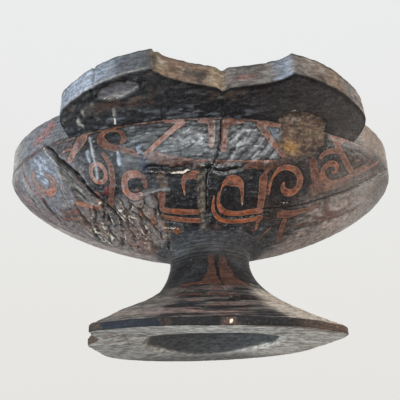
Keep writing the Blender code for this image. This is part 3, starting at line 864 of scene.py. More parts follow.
def split_and_wedge(surface, u, v):
    """The long diagonal split on the left, with bare grey wood beside its lower end."""
    ragged = 0.8 * fractal(surface.place, 3.2, 61)
    distance, width, side = near_path(u + ragged, v, SPLIT)
    surface.height -= 1.6 * ridge(distance, 0.36 * width)
    surface.height += 0.6 * ridge(distance - 1.3, 1.3) * (side > 0)
    surface.shade(1.3 * ridge(distance, 0.36 * width))
    surface.tear(0.5 * smooth_step(v, 25, 31) * zone(distance, 0.7, 1.2, 0.3) * (side > 0))
    torn_edge, _ = surface.away(SPLIT_EDGE, 0.4 * ragged)
    surface.tear(0.64 * ridge(torn_edge, 0.55))
    wedge = smooth_step(in_polygon(u, v, WEDGE), 0.5, -0.3)
    fibres = streaks(u, v, 58, 8.0, 0.8, 63)
    surface.height += wedge * (-0.7 + 0.22 * fibres)
    surface.stain(DARK_ASH, wedge)
    surface.stain(PALE_ASH, 0.70 * wedge, fibres, 0.10, 0.35)
    surface.stain(BLACK, 0.90 * wedge, fibres, 0.0, -0.30)
    surface.wear(wedge)
    surface.lose_paint(wedge)
    distance, _ = surface.away(WEDGE_FOOT)
    surface.stain(RUST, 0.9 * ridge(distance - 0.3, 0.6))
    surface.lose_paint(ridge(distance, 1.0))
    surface.tear_along(WEDGE_FOOT[:3], 0.3, 0.6)


def flakes(surface, u, v):
    """Torn edges where the lacquer below the boundary band has lifted, with a gap under each; the pale
    edges are partly a painted highlight and the gaps painted shade.
    """
    for knots, gap_side in ((LENS_FLAKE, -1), (RIGHT_FLAKE, 1)):
        distance, side = surface.away(knots, 0.0, 0.5 * noise(pair(u / 1.5, v / 2.0), 81))
        gap = ridge(distance - 1.5, 0.8) * (side == gap_side)
        surface.height += 0.6 * ridge(distance, 0.7) - 0.7 * gap
        surface.shade(1.1 * gap)
        whole = smooth_step(noise(pair(u / 1.3, v / 4.0), 84), -0.7, 0.2)
        lit = zone(u, -18.5, -13.5, 2)
        # Pale edge: torn ground and a painted highlight, brightest where lit.
        surface.tear((0.34 + 0.20 * whole + 0.34 * lit) * ridge(distance - 0.1, 0.34 + 0.22 * whole))
        surface.lose_paint(ridge(distance, 1.0))


def glint_ridges(surface, u, v):
    """Raised folds, bare of paint, that run down across the ornament; their pale and blue colour is a
    painted glint.
    """
    for knots, width, colour, amount in GLINT_RIDGES:
        distance, _ = surface.away(knots, 0.35 * noise(surface.place / 1.5, 88))
        width = width * (1 + 0.5 * noise(pair(u / 4.0, v / 2.2), 90))
        surface.height += 0.5 * ridge(distance, width)
        surface.lose_paint(ridge(distance, width))
        # The painted glint along the fold.
        surface.stain(colour, amount * ridge(distance, width))


def bare_patch(surface, u, v):
    """Wood laid bare where the lacquer is lost under the right of the ear."""
    ragged = 0.6 * noise(surface.place / 1.8, 83)
    signed = in_polygon(u, v, BARE_PATCH) + np.where(u > 42.5, 0, ragged)
    bare = smooth_step(signed, 0.3, -0.3)
    place = surface.place
    grain = fractal(pair(u / 2.2, v / 1.0), 1.0, 87, 4)
    surface.height += bare * smooth_step(v, 0, 3) * (-0.75 + 0.3 * grain + 0.15 * noise(place / 0.8, 89))
    surface.stain(WOOD, bare)
    surface.stain(BROWN, 0.95 * bare, grain, 0.25, -0.25)
    surface.stain(TAN, 0.55 * bare, fractal(place, 1.3, 93), 0.15, 0.5)
    surface.shade(0.6 * bare, fractal(place, 0.9, 94), 0.1, 0.4)
    surface.stain(GOLD, 0.85 * bare * ridge(np.hypot((u - 28.6) / 1.5, v - 8.9), 2.5))
    surface.wear(bare)
    surface.lose_paint(bare)
    surface.shade(1.2 * ridge(signed, 0.45) * (u > 41))
    surface.shade(0.9 * ridge(signed + 0.2, 0.5) * (u <= 41), grain, -0.5, 0.1)
    surface.tear(0.45 * ridge(signed - 0.8, 0.35), noise(place / 1.5, 95), 0.0, 0.5)


def centre_strip(surface, u, v):
    """The tan strip left of the middle where a fold has worn through, and the crack beside it."""
    distance, _ = surface.away(TAN_STRIP)
    specks = fractal(pair(u, v / 1.8), 1.2, 97, 4)
    worn = smooth_step(distance + 1.5 * specks, 2.3, 0.9)
    surface.lose_paint(worn, v, 20, 22)
    surface.stain(TAN, 0.65 * worn, specks, -0.35, 0.05)
    surface.stain(BLACK, 0.8 * worn, specks, 0.12, 0.35)
    surface.wear(0.8 * worn)
    surface.height += 0.20 * worn * specks
    surface.crack(CENTRE_CRACK, 0.40, 0.6, lip=0.15, torn=0.3)
    surface.tear_along([(-4, 21), (-4.1, 30), (-3.9, 38)], 0.22, 0.5)


def small_marks(surface, u, v):
    """Blots, a drip of pale ground and chips that stand out on the front."""
    column, _ = surface.away(BLACK_COLUMN)
    surface.stain(BLACK, 1, column, 2.0, 1.2)
    for blot in BLOTS:
        surface.blot(*blot)
    for line in TORN_LINES:
        surface.tear_along(*line)
    for chip_u, chip_v in CHIPS:
        surface.shade(ridge(np.hypot(u - chip_u, v - chip_v), 0.9))


def borders_of_long_crack(surface, u, v):
    """Broken black and rose lacquer above the long crack's outer end, pale haze below it."""
    distance, side = surface.away(LONG_CRACK)
    outer = smooth_step(u, 50, 68)
    ragged = streaks(u, v, 150, 3.5, 1.0, 68)
    above = outer * (side > 0) * smooth_step(distance + 1.2 * ragged, 4.2, 2.6)
    surface.stain(BLACK, 0.8 * above, ragged, 0.2, -0.1)
    surface.stain(ROSE, 0.7 * above, ragged, 0.2, 0.45)
    below = outer * (side < 0) * smooth_step(distance + 1.0 * ragged, 5.5, 1.5)
    surface.stain(PALE_ASH, 0.45 * below, ragged, -0.35, 0.25)


def damage_of_front(surface, u, v):
    surface.lay_out(u, v)
    surface.stain(BLACK, 0.65 * zone(u, -30, 44, 5) * zone(v, 20, 37, 3))
    # Painted sheen: pale streaks that lighten the paint in the listed places.
    sheen_streaks = smooth_step(streaks(u, v, 100, 5.0, 1.5, 99), -0.5, 0.3)
    for u_span, v_span, amount in SHEEN_PLACES:
        place = zone(u, *u_span, 3) * zone(v, *v_span, 3)
        surface.painted_sheen = np.maximum(surface.painted_sheen, amount * sheen_streaks * place)
    for damage in (worn_ends, pleats, small_marks, crazed_ground, glint_ridges, flakes,
                   centre_strip, borders_of_long_crack):
        damage(surface, u, v)
    for knots, torn in ((LONG_CRACK, 0.55), (SECOND_CRACK, 0.1)):
        surface.crack(knots, 0.45, 0.7, lip=0.2, torn=torn)
    split_and_wedge(surface, u, v)
    bare_patch(surface, u, v)


# ---------------------------------------------------------------- the bowl's skin

def raised(plan, height):
    return np.column_stack([plan, np.broadcast_to(height, len(plan))])


def body_rows(seat, line):
    """(plan, height, stride) of each row from the seat up to the line."""
    boss = body_height(seat[:, 0], seat[:, 1]) - SEAT_Z
    seat_length = np.interp(-SEAT_RADIUS, -MERIDIAN_Y, MERIDIAN_LENGTHS)
    for v in np.linspace(seat_length, 0, round(seat_length / ROW_STEP) + 1):
        y = np.interp(v, MERIDIAN_LENGTHS, MERIDIAN_Y)
        share = (y - SEAT_RADIUS) / (LINE_HALF_WIDTH - SEAT_RADIUS)
        plan = between(seat, line, share)
        away = np.linalg.norm(plan, axis=-1) - SEAT_RADIUS
        height = body_height(plan[:, 0], plan[:, 1]) - boss * np.exp(-away / BOSS_FADE)
        yield plan, height, 1 if share > BODY_ALL else 2 if share > BODY_HALF else 4


def lip_rows(line, lip, inner):
    """The same from the line up the lip band and over the rim."""
    for share in steps_to_one(BAND_ROWS):
        yield between(line, lip, share), between(LINE_Z, RIM_Z - RIM_ROUND, share), 1
    for angle in math.pi / 2 * steps_to_one(RIM_ROWS):
        inward = 1 - RIM_ROUND * (1 - math.cos(angle)) / LIP_HALF_WIDTH
        yield lip * inward, RIM_Z - RIM_ROUND * (1 - math.sin(angle)), 1
    crest = lip * (1 - RIM_ROUND / LIP_HALF_WIDTH)
    for share in RIM_SHARES:
        yield between(crest, inner, share), RIM_Z, 1


def hollow_rows(inner):
    """The same from the rim's inner edge down the hollow."""
    for row in range(HOLLOW_ROWS):
        share = math.cos(math.pi / 2 * row / HOLLOW_ROWS)
        drop = (1 - share ** HOLLOW_RADIAL_POWER) ** (1 / HOLLOW_DEPTH_POWER)
        stride = 1 if row == 0 else 2 if share > HOLLOW_HALF else 4
        yield inner * share, RIM_Z - (RIM_Z - FLOOR_Z) * drop, stride


def bowl_grid():
    """(grid, strides, number of outside rows): from the seat up outside, over the rim, down in."""
    front = np.linspace(-QUARTER, QUARTER, FRONT_COLUMNS, endpoint=False)
    back = np.linspace(QUARTER, 3 * QUARTER, BACK_COLUMNS, endpoint=False)
    lengths = np.concatenate([front, back])
    turns = turn_at(np.where(lengths > 2 * QUARTER, lengths - 4 * QUARTER, lengths))
    line = pair(*oval(turns, LINE_HALF_LENGTH, LINE_HALF_WIDTH))
    lip = pair(*oval(turns, LIP_HALF_LENGTH, LIP_HALF_WIDTH))
    inner = pair(*oval(turns, LIP_HALF_LENGTH - RIM_WIDTH, LIP_HALF_WIDTH - RIM_WIDTH))
    outside = [*body_rows(unit(line) * SEAT_RADIUS, line), *lip_rows(line, lip, inner)]
    plans, heights, strides = zip(*outside, *hollow_rows(inner))
    return np.array(list(map(raised, plans, heights))), strides, len(outside)


def down_the_body(z):
    """v: length below the line on the front's meridian, and minus the height above it."""
    below = np.interp(LINE_Z - z, LINE_Z - MERIDIAN_Z, MERIDIAN_LENGTHS)
    return np.where(z > LINE_Z, LINE_Z - z, below)


def turned_rings(surface, radius):
    """Concentric turning marks on the boss above the stem."""
    near = smooth_step(radius, 27, 22)
    surface.height += 0.16 * near * np.sin(radius * 2 * math.pi / RING_PITCH)
    surface.stain(DARK_SLATE, 0.8 * near)
    surface.stain(ASH, 0.4 * near, np.sin(radius * 2 * math.pi / RING_PITCH), 0.2, 0.9)
    surface.wear(0.6 * near)
    surface.lose_paint(near)


def inside_of_bowl(surface, rows):
    """Plain cinnabar lacquer inside, rubbed through in places and darker towards the bottom."""
    inside = Surface(surface.points[rows:], CINNABAR)
    points = inside.points
    inside.height += 0.22 * fractal(points, 12.0, 103) + 0.05 * fractal(points, 2.0, 105)
    rubbed = smooth_step(fractal(points, 9.0, 107, 4), 0.12, 0.5)
    inside.tint *= 0.9 - 0.45 * smooth_step(points[..., 2:], 66, 46)
    inside.stain(DEEP_BROWN, 0.8 * rubbed)
    tide = ridge(points[..., 2] - 62 - 1.6 * fractal(points, 16.0, 115), 1.1)
    inside.tint *= 1 - 0.35 * tide[..., None]
    inside.wear(0.10 + 0.5 * rubbed)
    border, _ = cells(points[..., :2] / (7.0, 5.0), 109)
    crazing = ridge(border, 0.035) * smooth_step(fractal(points, 14.0, 113), 0.0, 0.4)
    inside.shade(0.8 * crazing)
    inside.height -= 0.15 * crazing
    for field in ("height", "tint", "paint", "pale", "dark", "dry"):
        getattr(surface, field)[rows:] = getattr(inside, field)


def make_bowl(materials):
    grid, strides, outside_rows = bowl_grid()
    normals = outward_normals(grid)
    surface = Surface(grid, BLACK)
    u = length_beside(grid[..., 0], grid[..., 1])
    v = down_the_body(grid[..., 2])
    front = grid[..., 1] < 0
    calm = 1 - smooth_step(np.abs(grid[..., 1]), 7, 1) * smooth_step(v, 20, 26)

    plain_lacquer(surface, u, v)
    surface.draw(np.where(front, u, np.abs(u)), v, right_half_strokes())
    surface.draw(u, v, boundary_band())
    surface.draw(np.where(front, u, NOWHERE), v, left_half_strokes())
    surface.draw(np.where(front, NOWHERE, np.abs(u)), v, lip_strokes())
    hairline = np.abs(v - 0.5) - 0.20
    surface.tone = np.where(hairline < surface.paint, 0.30, surface.tone)
    surface.paint = np.minimum(surface.paint, hairline)
    surface.tone += 0.22 * fractal(grid, 4.0, 127)

    before = surface.height.copy()
    damage_of_front(surface, np.where(front, u, NOWHERE), v)
    surface.height = before + (surface.height - before) * calm
    surface.lose_paint(1 - calm)
    turned_rings(surface, np.hypot(grid[..., 0], grid[..., 1]))
    rim = smooth_step(v, -10.2, -11.2)
    surface.stain(BROWN, 0.5 * rim, fractal(surface.points, 6.0, 121), -0.2, 0.4)
    surface.wear(0.5 * rim)
    inside_of_bowl(surface, outside_rows)
    settle(surface, normals, "bowl")
    row_materials = [0] * outside_rows + [1] * (len(strides) - outside_rows)
    make_skin("bowl_skin", surface, strides, materials, "bowl", row_materials)


# ---------------------------------------------------------------- the ears

def front_of_ear(x):
    rise = NOTCH_RISE * (1 - np.exp(-((x / NOTCH_HALF_WIDTH) ** 2)))
    return NOTCH_Y + rise + FRONT_SLOPE * x + PEAK_FLARE * (x / PEAK_X) ** PEAK_FLARE_POWER


def ear_outline():
    """Plan points of the +X half of an ear's edge, notch first, y positive."""
    x = np.linspace(0, PEAK_X, round(PEAK_X / EAR_STEP) + 1)
    front = np.column_stack([x, front_of_ear(x)])
    arm = front[-1] - WING_CENTRE
    radius = math.hypot(*arm)
    start, end = math.atan2(arm[1], arm[0]), math.acos((WING_END_X - WING_CENTRE[0]) / radius)
    angle = np.linspace(start, end, round(radius * (start - end) / EAR_STEP) + 1)[1:]
    wing = WING_CENTRE + radius * np.column_stack([np.cos(angle), np.sin(angle)])
    foot_turn = math.asin((EAR_END_X / LINE_HALF_LENGTH) ** (PLAN_POWER / 2))
    foot_x, foot_y = oval(foot_turn, LINE_HALF_LENGTH, LINE_HALF_WIDTH)
    share = steps_to_one(EAR_FOOT_POINTS)[:, None]
    foot = np.array((foot_x, -foot_y))
    towards_tip, towards_foot = between(wing[-1], EAR_TIP, share), between(EAR_TIP, foot, share)
    return np.vstack([front, wing, between(towards_tip, towards_foot, share)])


def ear_grid():
    """(grid, u of each section, its underside's length): a section is one closed row of the grid."""
    half = ear_outline()
    edge = np.vstack([half[::-1] * (-1, -1), half[1:] * (1, -1)])
    u = length_beside(edge[None, :, 0], edge[None, :, 1])[0]
    turns = turn_at(u)
    line = pair(*oval(turns, LINE_HALF_LENGTH, LINE_HALF_WIDTH))
    lip = pair(*oval(turns, LIP_HALF_LENGTH, LIP_HALF_WIDTH))
    reach = np.linalg.norm(edge - line, axis=-1)
    blend = 1 - smooth_step(reach / EAR_BLEND, 0, 1)
    lean = (lip - line) * blend[:, None]
    rise = np.maximum(LIP_STEP, reach * math.tan(EAR_SLOPE))
    sink = -EAR_END_SINK * smooth_step(reach, 1.6, 0.4)
    outward = unit(line)
    edge = edge + outward * sink[:, None]

    lower = raised(edge + lean * (rise / (RIM_Z - LINE_Z))[:, None], LINE_Z + rise)
    upper = raised(edge + lean, LINE_Z + rise + EAR_THICKNESS)
    base = raised(line + outward * sink[:, None], LINE_Z)
    crest = raised(lip * (1 - RIM_ROUND / LIP_HALF_WIDTH), RIM_Z)
    root_low = raised(line - ROOT_LOW_IN * outward, LINE_Z + ROOT_LOW_UP)
    root_top = raised(lip - ROOT_TOP_IN * outward, RIM_Z - ROOT_TOP_DOWN)

    loop = [root_low]
    for first, last, count in ((base, lower, UNDERSIDE_ROWS), (lower, upper, EDGE_ROWS),
                               (upper, crest, TOP_ROWS)):
        loop += [between(first, last, share) for share in np.arange(count) / count]
    loop += [crest, root_top]
    grid = np.stack(loop, 1)
    out = np.linalg.norm(lower - base, axis=-1)
    return grid, u, out


# Colours along the front ear's edge by x: wood and lacquer, with painted sheen in the blue stretches at
# the left end and near the right peak, and painted glare in the pale haze at the right end.
EAR_EDGE_COLOURS_AND_SHEEN = [
    (-57, STEEL), (-46.5, PALE_BLUE), (-45, STEEL), (-36, BLUE_GREY), (-27, SLATE), (-25.5, BROWN),
    (-24, TAN), (-20, WOOD), (-6, WOOD), (-3.5, TAN), (-0.5, TAN), (2, ASH), (17, ASH), (21, STEEL),
    (24, STEEL), (25.5, ASH), (44, WOOD), (50, ASH), (57, HAZE)]


def edge_colours(surface, x, edge, rise):
    """Wood and lacquer colours along the front ear's edge, from its left end to its right, with painted
    sheen in its blue stretches and painted glare at its right end.
    """
    places, shades = zip(*EAR_EDGE_COLOURS_AND_SHEEN)
    colour = np.stack([np.interp(x, places, channel) for channel in zip(*shades)], -1)
    surface.tint += (colour - surface.tint) * edge[..., None]
    wavering = rise / 0.8 + 2.5 * noise(surface.points / 6, 131)
    swirl = fractal(pair(x / 3.0, wavering), 1.0, 133, 4)
    lively = edge * (1 - 0.6 * smooth_step(x, -22, -27) - 0.45 * zone(x, 3, 25, 2))
    surface.stain(BROWN, 0.75 * lively, swirl, 0.0, 0.4)
    surface.stain(PALE_ASH, 0.42 * lively, swirl, -0.15, -0.55)
    blotch = fractal(surface.points, 4.0, 137, 4)
    surface.stain(BLACK, 0.7 * lively, blotch, 0.12, 0.42)
    surface.stain(PALE_ASH, 0.35 * lively, blotch, -0.2, -0.5)
    surface.stain(SLATE, 0.6 * edge * zone(x, -36, -27, 5), blotch, -0.4, 0.2)
    surface.stain(ROSE, 0.7 * edge * ridge(x - 8, 4.0) * ridge(rise - 4, 1.2))
    surface.stain(PALE_ASH, 0.8 * edge * ridge(rise - 0.5, 0.4), x, -24, -30)
    surface.shade(0.7 * edge * ridge(rise - EAR_THICKNESS, 0.7 + 0.5 * blotch))
    surface.wear(0.75 * edge)
    surface.height += edge * (0.14 * swirl + 0.35 * fractal(surface.points, 3.0, 135, 4))


def mottled_underside(surface, u, out, underside):
    """Black lacquer clouded with grey, brown and blue, giving way to smooth umber at the right."""
    left = underside * smooth_step(u, 22, 0)
    mottle = streaks(u, out, 3, 3.4, 1.3, 181, 4)
    clouds = fractal(surface.points, 3.4, 187, 4)
    surface.height += 0.18 * left * mottle + 0.15 * left * clouds
    surface.stain(ASH, 0.58 * left, mottle + 0.5 * clouds, 0.08, 0.4)
    surface.stain(BROWN, 0.7 * left * smooth_step(clouds, -0.1, -0.4), out, 5, 10)
    surface.stain(BLUE_GREY, 0.45 * left * smooth_step(mottle, 0.02, 0.35), out, 7, 3)
    surface.stain(BLACK, 0.9 * left, mottle - 0.6 * clouds, 0.02, -0.30)
    surface.stain(BLACK, 0.5 * underside * zone(u, -27, -8, 5), out, 3, 7)
    specks = smooth_step(noise(surface.points / 0.9, 141), 0.66, 0.92)
    surface.tear(0.45 * left * specks)
    surface.stain(DARK_UMBER, 0.9 * underside, u, 6, 28)
    surface.stain(ASH, 0.4 * underside * smooth_step(u, 30, 50), clouds, 0.0, 0.5)


def peeled_lens(surface, u, out, underside):
    """A lens where the lacquer has peeled off the underside, dark all round with painted shade, brown
    above it, and with a painted highlight on its lower border.
    """
    place = surface.place
    along, over = (u + 34.2) / 7.6, (out - 13.6 - 0.12 * (u + 34)) / 2.9
    lens = (np.abs(along) ** 1.5 + np.abs(over) ** 1.8) ** 0.6 + 0.12 * noise(place / 1.5, 185)
    around_it = underside * smooth_step(lens, 1.75, 1.15)
    surface.shade(0.95 * around_it, fractal(place, 2.4, 145), -0.45, 0.1)
    above_it = underside * zone(out, 7.0, 10.2, 0.8) * zone(u, -45, -25, 3)
    surface.stain(BROWN, 0.7 * above_it, fractal(place, 2.0, 144), -0.3, 0.3)
    peel = underside * smooth_step(lens, 1.06, 0.94)
    surface.height -= 0.55 * peel
    surface.dark *= 1 - peel
    surface.stain(PEELED_GREY, peel)
    surface.stain(SLATE, 0.6 * peel, fractal(place, 2.5, 143), -0.2, 0.5)
    surface.stain(PALE_ASH, 0.6 * peel, over, -0.1, -0.7)
    # Painted highlight along the lens's lower border.
    lit_border = underside * ridge(lens - 1.0, 0.06) * smooth_step(over, -0.2, -0.6)
    surface.tear(0.8 * lit_border, along, 0.5, -0.2)


def marks_on_ear(surface, u, out, underside):
    """Pale spots and a broken pale line on the underside's left."""
    for spot_u, spot_out, radius in ((-52.3, 4.7, 1.0), (-44.6, 10.2, 0.4), (-49, 8, 0.4)):
        away = np.hypot(u - spot_u, 0.6 * (out - spot_out)) + 0.6 * noise(surface.place / 1.1, 147)
        surface.stain(PALE_ASH, 0.9 * underside, away, radius + 0.4, radius - 0.4)
        surface.tear(0.6 * underside, away, radius - 0.5, radius - 1.0)
    surface.stain(PALE_ASH, underside * surface.broken_line([(-37.8, 7), (-38.5, 4.4)], 0.55))
    surface.tear(underside * surface.broken_line([(-38.5, 4.8), (-39.3, 1.2)], 0.42))


def cracks_in_ear(surface, out, x, edge, underside):
    """A crack through the left wing's edge and on below it, and a short one near the notch."""
    across = ridge(x + 45.7 + 0.7 * noise(surface.place / 2, 149), 0.32)
    below = underside * smooth_step(out, 9, 11)
    surface.height -= across * (0.7 * edge + 0.2 * below)
    surface.shade(across * (0.6 * edge + 0.95 * below))
    tick = ridge(x + 24.2, 0.5) * edge
    surface.height -= 0.6 * tick
    surface.shade(0.5 * tick)


def bare_wood_on_ear(surface, u, out, underside):
    """The patch of bare wood, on from the bowl's own."""
    place = surface.place
    patch_top = np.interp(u, (21.5, 23, 26, 30, 38, 42, 43.5), (-1, 2, 4.6, 5.8, 5.5, 4.2, -1))
    signed = out - patch_top + 0.5 * noise(place / 1.6, 151)
    bare = underside * smooth_step(signed, 0.3, -0.3)
    grain = fractal(place, (2.6, 1.1), 153)
    surface.height += bare * smooth_step(out, 0, 3) * (-0.8 + 0.3 * grain)
    surface.stain(WOOD, bare)
    surface.stain(BROWN, 0.9 * bare, grain, 0.2, -0.4)
    surface.stain(PALE_ASH, 0.45 * bare, fractal(place, 1.2, 155), 0.2, 0.55)
    surface.shade(0.7 * bare, fractal(place, 1.0, 156), 0.05, 0.35)
    surface.wear(bare)
    surface.shade(0.7 * underside * ridge(signed, 0.4) * (patch_top > 0))
    surface.tear(0.5 * underside * ridge(signed - 0.8, 0.4) * zone(u, 23, 30, 1))


def damage_of_ear(surface, u, out, x, edge, underside):
    surface.lay_out(u, out)
    mottled_underside(surface, u, out, underside)
    peeled_lens(surface, u, out, underside)
    marks_on_ear(surface, u, out, underside)
    cracks_in_ear(surface, out, x, edge, underside)
    bare_wood_on_ear(surface, u, out, underside)


def plain_ear(surface):
    """Low swells, grey clouds and wear that both ears have all over."""
    points = surface.points
    surface.height += 0.15 * fractal(points, 8.0, 161) + 0.07 * fractal(points, 2.0, 163)
    surface.stain(SLATE, 0.5, fractal(points, 9.0, 165, 4), 0.0, 0.5)
    surface.stain(ASH, 0.3, fractal(points * (0.2, 1, 1), 1.6, 167), 0.2, 0.7)
    surface.wear(0.4, fractal(points, 5.0, 169), 0.0, 0.6)


def edge_of_back_ear(surface, x, edge, rise):
    """Brown wood and grey lacquer along the plainer ear's edge."""
    points = surface.points
    swirl = fractal(pair(x / 4.0, rise / 0.9), 1.0, 171)
    surface.stain(WOOD, edge * (0.55 + 0.35 * swirl))
    surface.stain(SLATE, edge, fractal(points, 10.0, 173), 0.0, 0.4)
    surface.wear(0.6 * edge)
    surface.height += edge * (0.1 * swirl + 0.2 * fractal(points, 3.0, 135))


def top_of_ear(surface, top, from_edge, top_width):
    """A border of two painted lines on the top, with small curls between them."""
    line = np.minimum(np.abs(from_edge - 2.6) - 0.5, np.abs(from_edge - top_width + 2.0) - 0.35)
    surface.paint = np.where(top * (top_width > 6.5) > 0.5, line, FAR)
    surface.tone = np.full(from_edge.shape, 0.55)
    curls = [spiral(0.6, (1.6, 0.8), (centre, 5.6), (3.0, 0.5), start, start + 420)
             for centre, start in ((6, 0), (16, 180), (27, 0), (38, 180))]
    surface.draw(np.where(top > 0.5, np.abs(surface.points[..., 0]), NOWHERE), from_edge, curls)


def make_ear(name, side, material):
    """side is -1 for the damaged front ear and +1 for the plainer back one."""
    grid, section_u, section_out = ear_grid()
    normals = -outward_normals(grid)
    surface = Surface(grid, BLACK)
    columns = np.arange(grid.shape[1])
    first_edge = 1 + UNDERSIDE_ROWS
    first_top = first_edge + EDGE_ROWS
    x = grid[..., 0]
    everywhere = np.ones(x.shape)
    underside = everywhere * (columns < first_edge)
    edge = everywhere * ((columns >= first_edge) & (columns <= first_top))
    top = everywhere * (columns > first_top)
    u = everywhere * section_u[:, None]
    out = section_out[:, None] * np.clip((columns - 1) / UNDERSIDE_ROWS, 0, 1)
    rise = everywhere * EAR_THICKNESS * np.clip((columns - first_edge) / EDGE_ROWS, 0, 1)

    plain_ear(surface)
    border = np.minimum(rise, EAR_THICKNESS - rise) * edge + FAR * (1 - edge)
    ragged_border = section_out[:, None] - out + 0.5 * noise(grid / 2.5, 183)
    surface.shade(0.7 * underside, ragged_border, 2.4, 1.2)
    surface.shade(underside, ragged_border, 1.6, 1.0)
    if side < 0:
        edge_colours(surface, x, edge, rise)
        damage_of_ear(surface, u, out, x, edge, underside)
    else:
        edge_of_back_ear(surface, x, edge, rise)
    surface.shade(0.5 * edge * ridge(border, 0.35))

    inward = everywhere * np.clip((columns - first_top) / TOP_ROWS, 0, 1)
    top_width = np.linalg.norm(grid[:, first_top] - grid[:, -2], axis=-1)[:, None]
    top_of_ear(surface, top, inward * top_width, top_width)
    settle(surface, normals, "bowl")
    if side > 0:
        surface.points = surface.points * (1, -1, 1)        # mirrored to the back
    piece = make_skin(name, surface, [1] * len(grid), [material], "bowl")
    if side > 0:
        piece.data.flip_normals()


# ---------------------------------------------------------------- the stem and foot

def flare_radius(z):
    share = np.clip((WAIST_Z - z) / (WAIST_Z - FOOT_RIM_HEIGHT), 0, 1)
    return WAIST_RADIUS + (FOOT_RADIUS - WAIST_RADIUS) * share ** FLARE_POWER


def stem_profile():
    """Rows of (radius, height, stride) from the recess's middle, out underneath, up to the seat."""
    rows = []

    def straight(first, last, shares, stride=1):
        """Rows at these shares of the way from the first radius and height to the last."""
        for share in shares:
            rows.append((between(first[0], last[0], share), between(first[1], last[1], share), stride))

    for share in steps_to_one(RECESS_ROWS):
        height = RECESS_EDGE_Z + RECESS_DEPTH * (1 - share ** RECESS_POWER)
        rows.append((RECESS_RADIUS * share, height, 4 if share < RECESS_HALF else 2))
    flat_end, top_of_side = FOOT_RADIUS - FOOT_EDGE_ROUND, FOOT_RIM_HEIGHT - FOOT_EDGE_ROUND
    rounding = np.radians((30, 60, 90))
    straight((RECESS_RADIUS, RECESS_EDGE_Z), (GROUND_RING_INNER, 0), steps_to_one(RECESS_EDGE_ROWS))
    straight((GROUND_RING_INNER, 0), (flat_end, 0), steps_to_one(GROUND_ROWS))
    for angle in rounding:
        rows.append((flat_end + FOOT_EDGE_ROUND * math.sin(angle),
                     FOOT_EDGE_ROUND * (1 - math.cos(angle)), 1))
    straight((FOOT_RADIUS, FOOT_EDGE_ROUND), (FOOT_RADIUS, top_of_side), steps_to_one(FOOT_SIDE_ROWS))
    for angle in rounding:
        rows.append((flat_end + FOOT_EDGE_ROUND * math.cos(angle),
                     top_of_side + FOOT_EDGE_ROUND * math.sin(angle), 1))
    z = np.linspace(FOOT_RIM_HEIGHT, WAIST_Z, 4000)
    lengths = running_length(flare_radius(z), z)
    start = np.interp(-flat_end + FLARE_START, -flare_radius(z), lengths)
    for height in np.interp(np.arange(start, lengths[-1], FLARE_STEP), lengths, z):
        radius = float(flare_radius(height))
        rows.append((radius, height, 1 if radius > FLARE_ALL else 2))
    straight((WAIST_RADIUS, WAIST_Z), (SEAT_RADIUS, SEAT_Z), np.linspace(0, 1, SEAT_ROWS + 1), 2)
    return rows


def wrapped(angle, whole=2 * math.pi):
    """The same angle, between minus and plus half of a whole turn."""
    return (angle + whole / 2) % whole - whole / 2


def warp_lift(angle):
    past_start = wrapped(WARP_START - angle)
    length = WARP_START - CHIP_ANGLE - CHIP_HALF_ANGLE
    rising = past_start / length
    falling = (length + 2 * CHIP_HALF_ANGLE - past_start) / (2 * CHIP_HALF_ANGLE)
    return WARP_LIFT * np.clip(np.minimum(rising, falling), 0, None)


def both_sides(angle, turn, spread):
    """1 at this turn from the X axis and at its mirror image, fading over the spread."""
    return sum(ridge(wrapped(angle - side), spread) for side in (turn, math.pi - turn))


def outward_shift(angle):
    return (CORNER_OUT * both_sides(angle, CORNER_OUT_TURN, CORNER_OUT_SPREAD)
            - DRAWN_IN * both_sides(angle, DRAWN_IN_TURN, DRAWN_IN_SPREAD))


def warped_foot(radius, z, radians):
    """Grid of the turned profile, broken at the chip, then drawn in and lifted like the part."""
    away = np.abs(wrapped(radians - CHIP_ANGLE))
    limit = FOOT_RADIUS - CHIP_DEPTH * np.clip(1 - away / CHIP_HALF_ANGLE, 0, 1)
    spread = np.minimum(radius[:, None], limit)
    share = smooth_step(spread, WARP_INNER_RADIUS, WARP_OUTER_RADIUS)
    height = z[:, None] + share * warp_lift(radians)
    spread = spread + share * outward_shift(radians)
    grid = np.stack([spread * np.cos(radians), spread * np.sin(radians), height], -1)
    broken = (radius[:, None] > limit) & (away < CHIP_HALF_ANGLE)
    return grid, broken


def stem_strokes(surface, angle, radius, z):
    """Bell-shaped columns between lines, repeated three times round."""
    opening = ((34.5 - z) / 13.0).clip(0, 1) ** 2.2
    height_of_column = np.abs(z - 28) - 6.5
    reddened = []
    for centre in (0, 120, -120):
        turned = wrapped(angle - centre, 360)
        arc = np.radians(turned) * radius
        for start, end in ((-8 - 9 * opening, 1.0), (5 - 2 * opening, 16 + 11 * opening)):
            left, right = np.radians(start) * radius, np.radians(end) * radius
            reddened.append(np.max([left - arc, arc - right, height_of_column], axis=0))
        reddened.append(np.maximum(np.abs(z - 21.1) - 0.8, np.abs(turned + 2) - 34))
        reddened.append(np.maximum(np.abs(z - 14.4 + 0.05 * turned) - 0.35, np.abs(turned + 6) - 30))
    surface.paint = np.minimum(surface.paint, np.min(reddened, axis=0))
    surface.paint += 0.6 * smooth_step(fractal(surface.points, 1.2, 231), -0.2, 0.5)
    surface.tone = 0.16 + 0.14 * smooth_step(np.abs(z - 18), 4.5, 3.5)


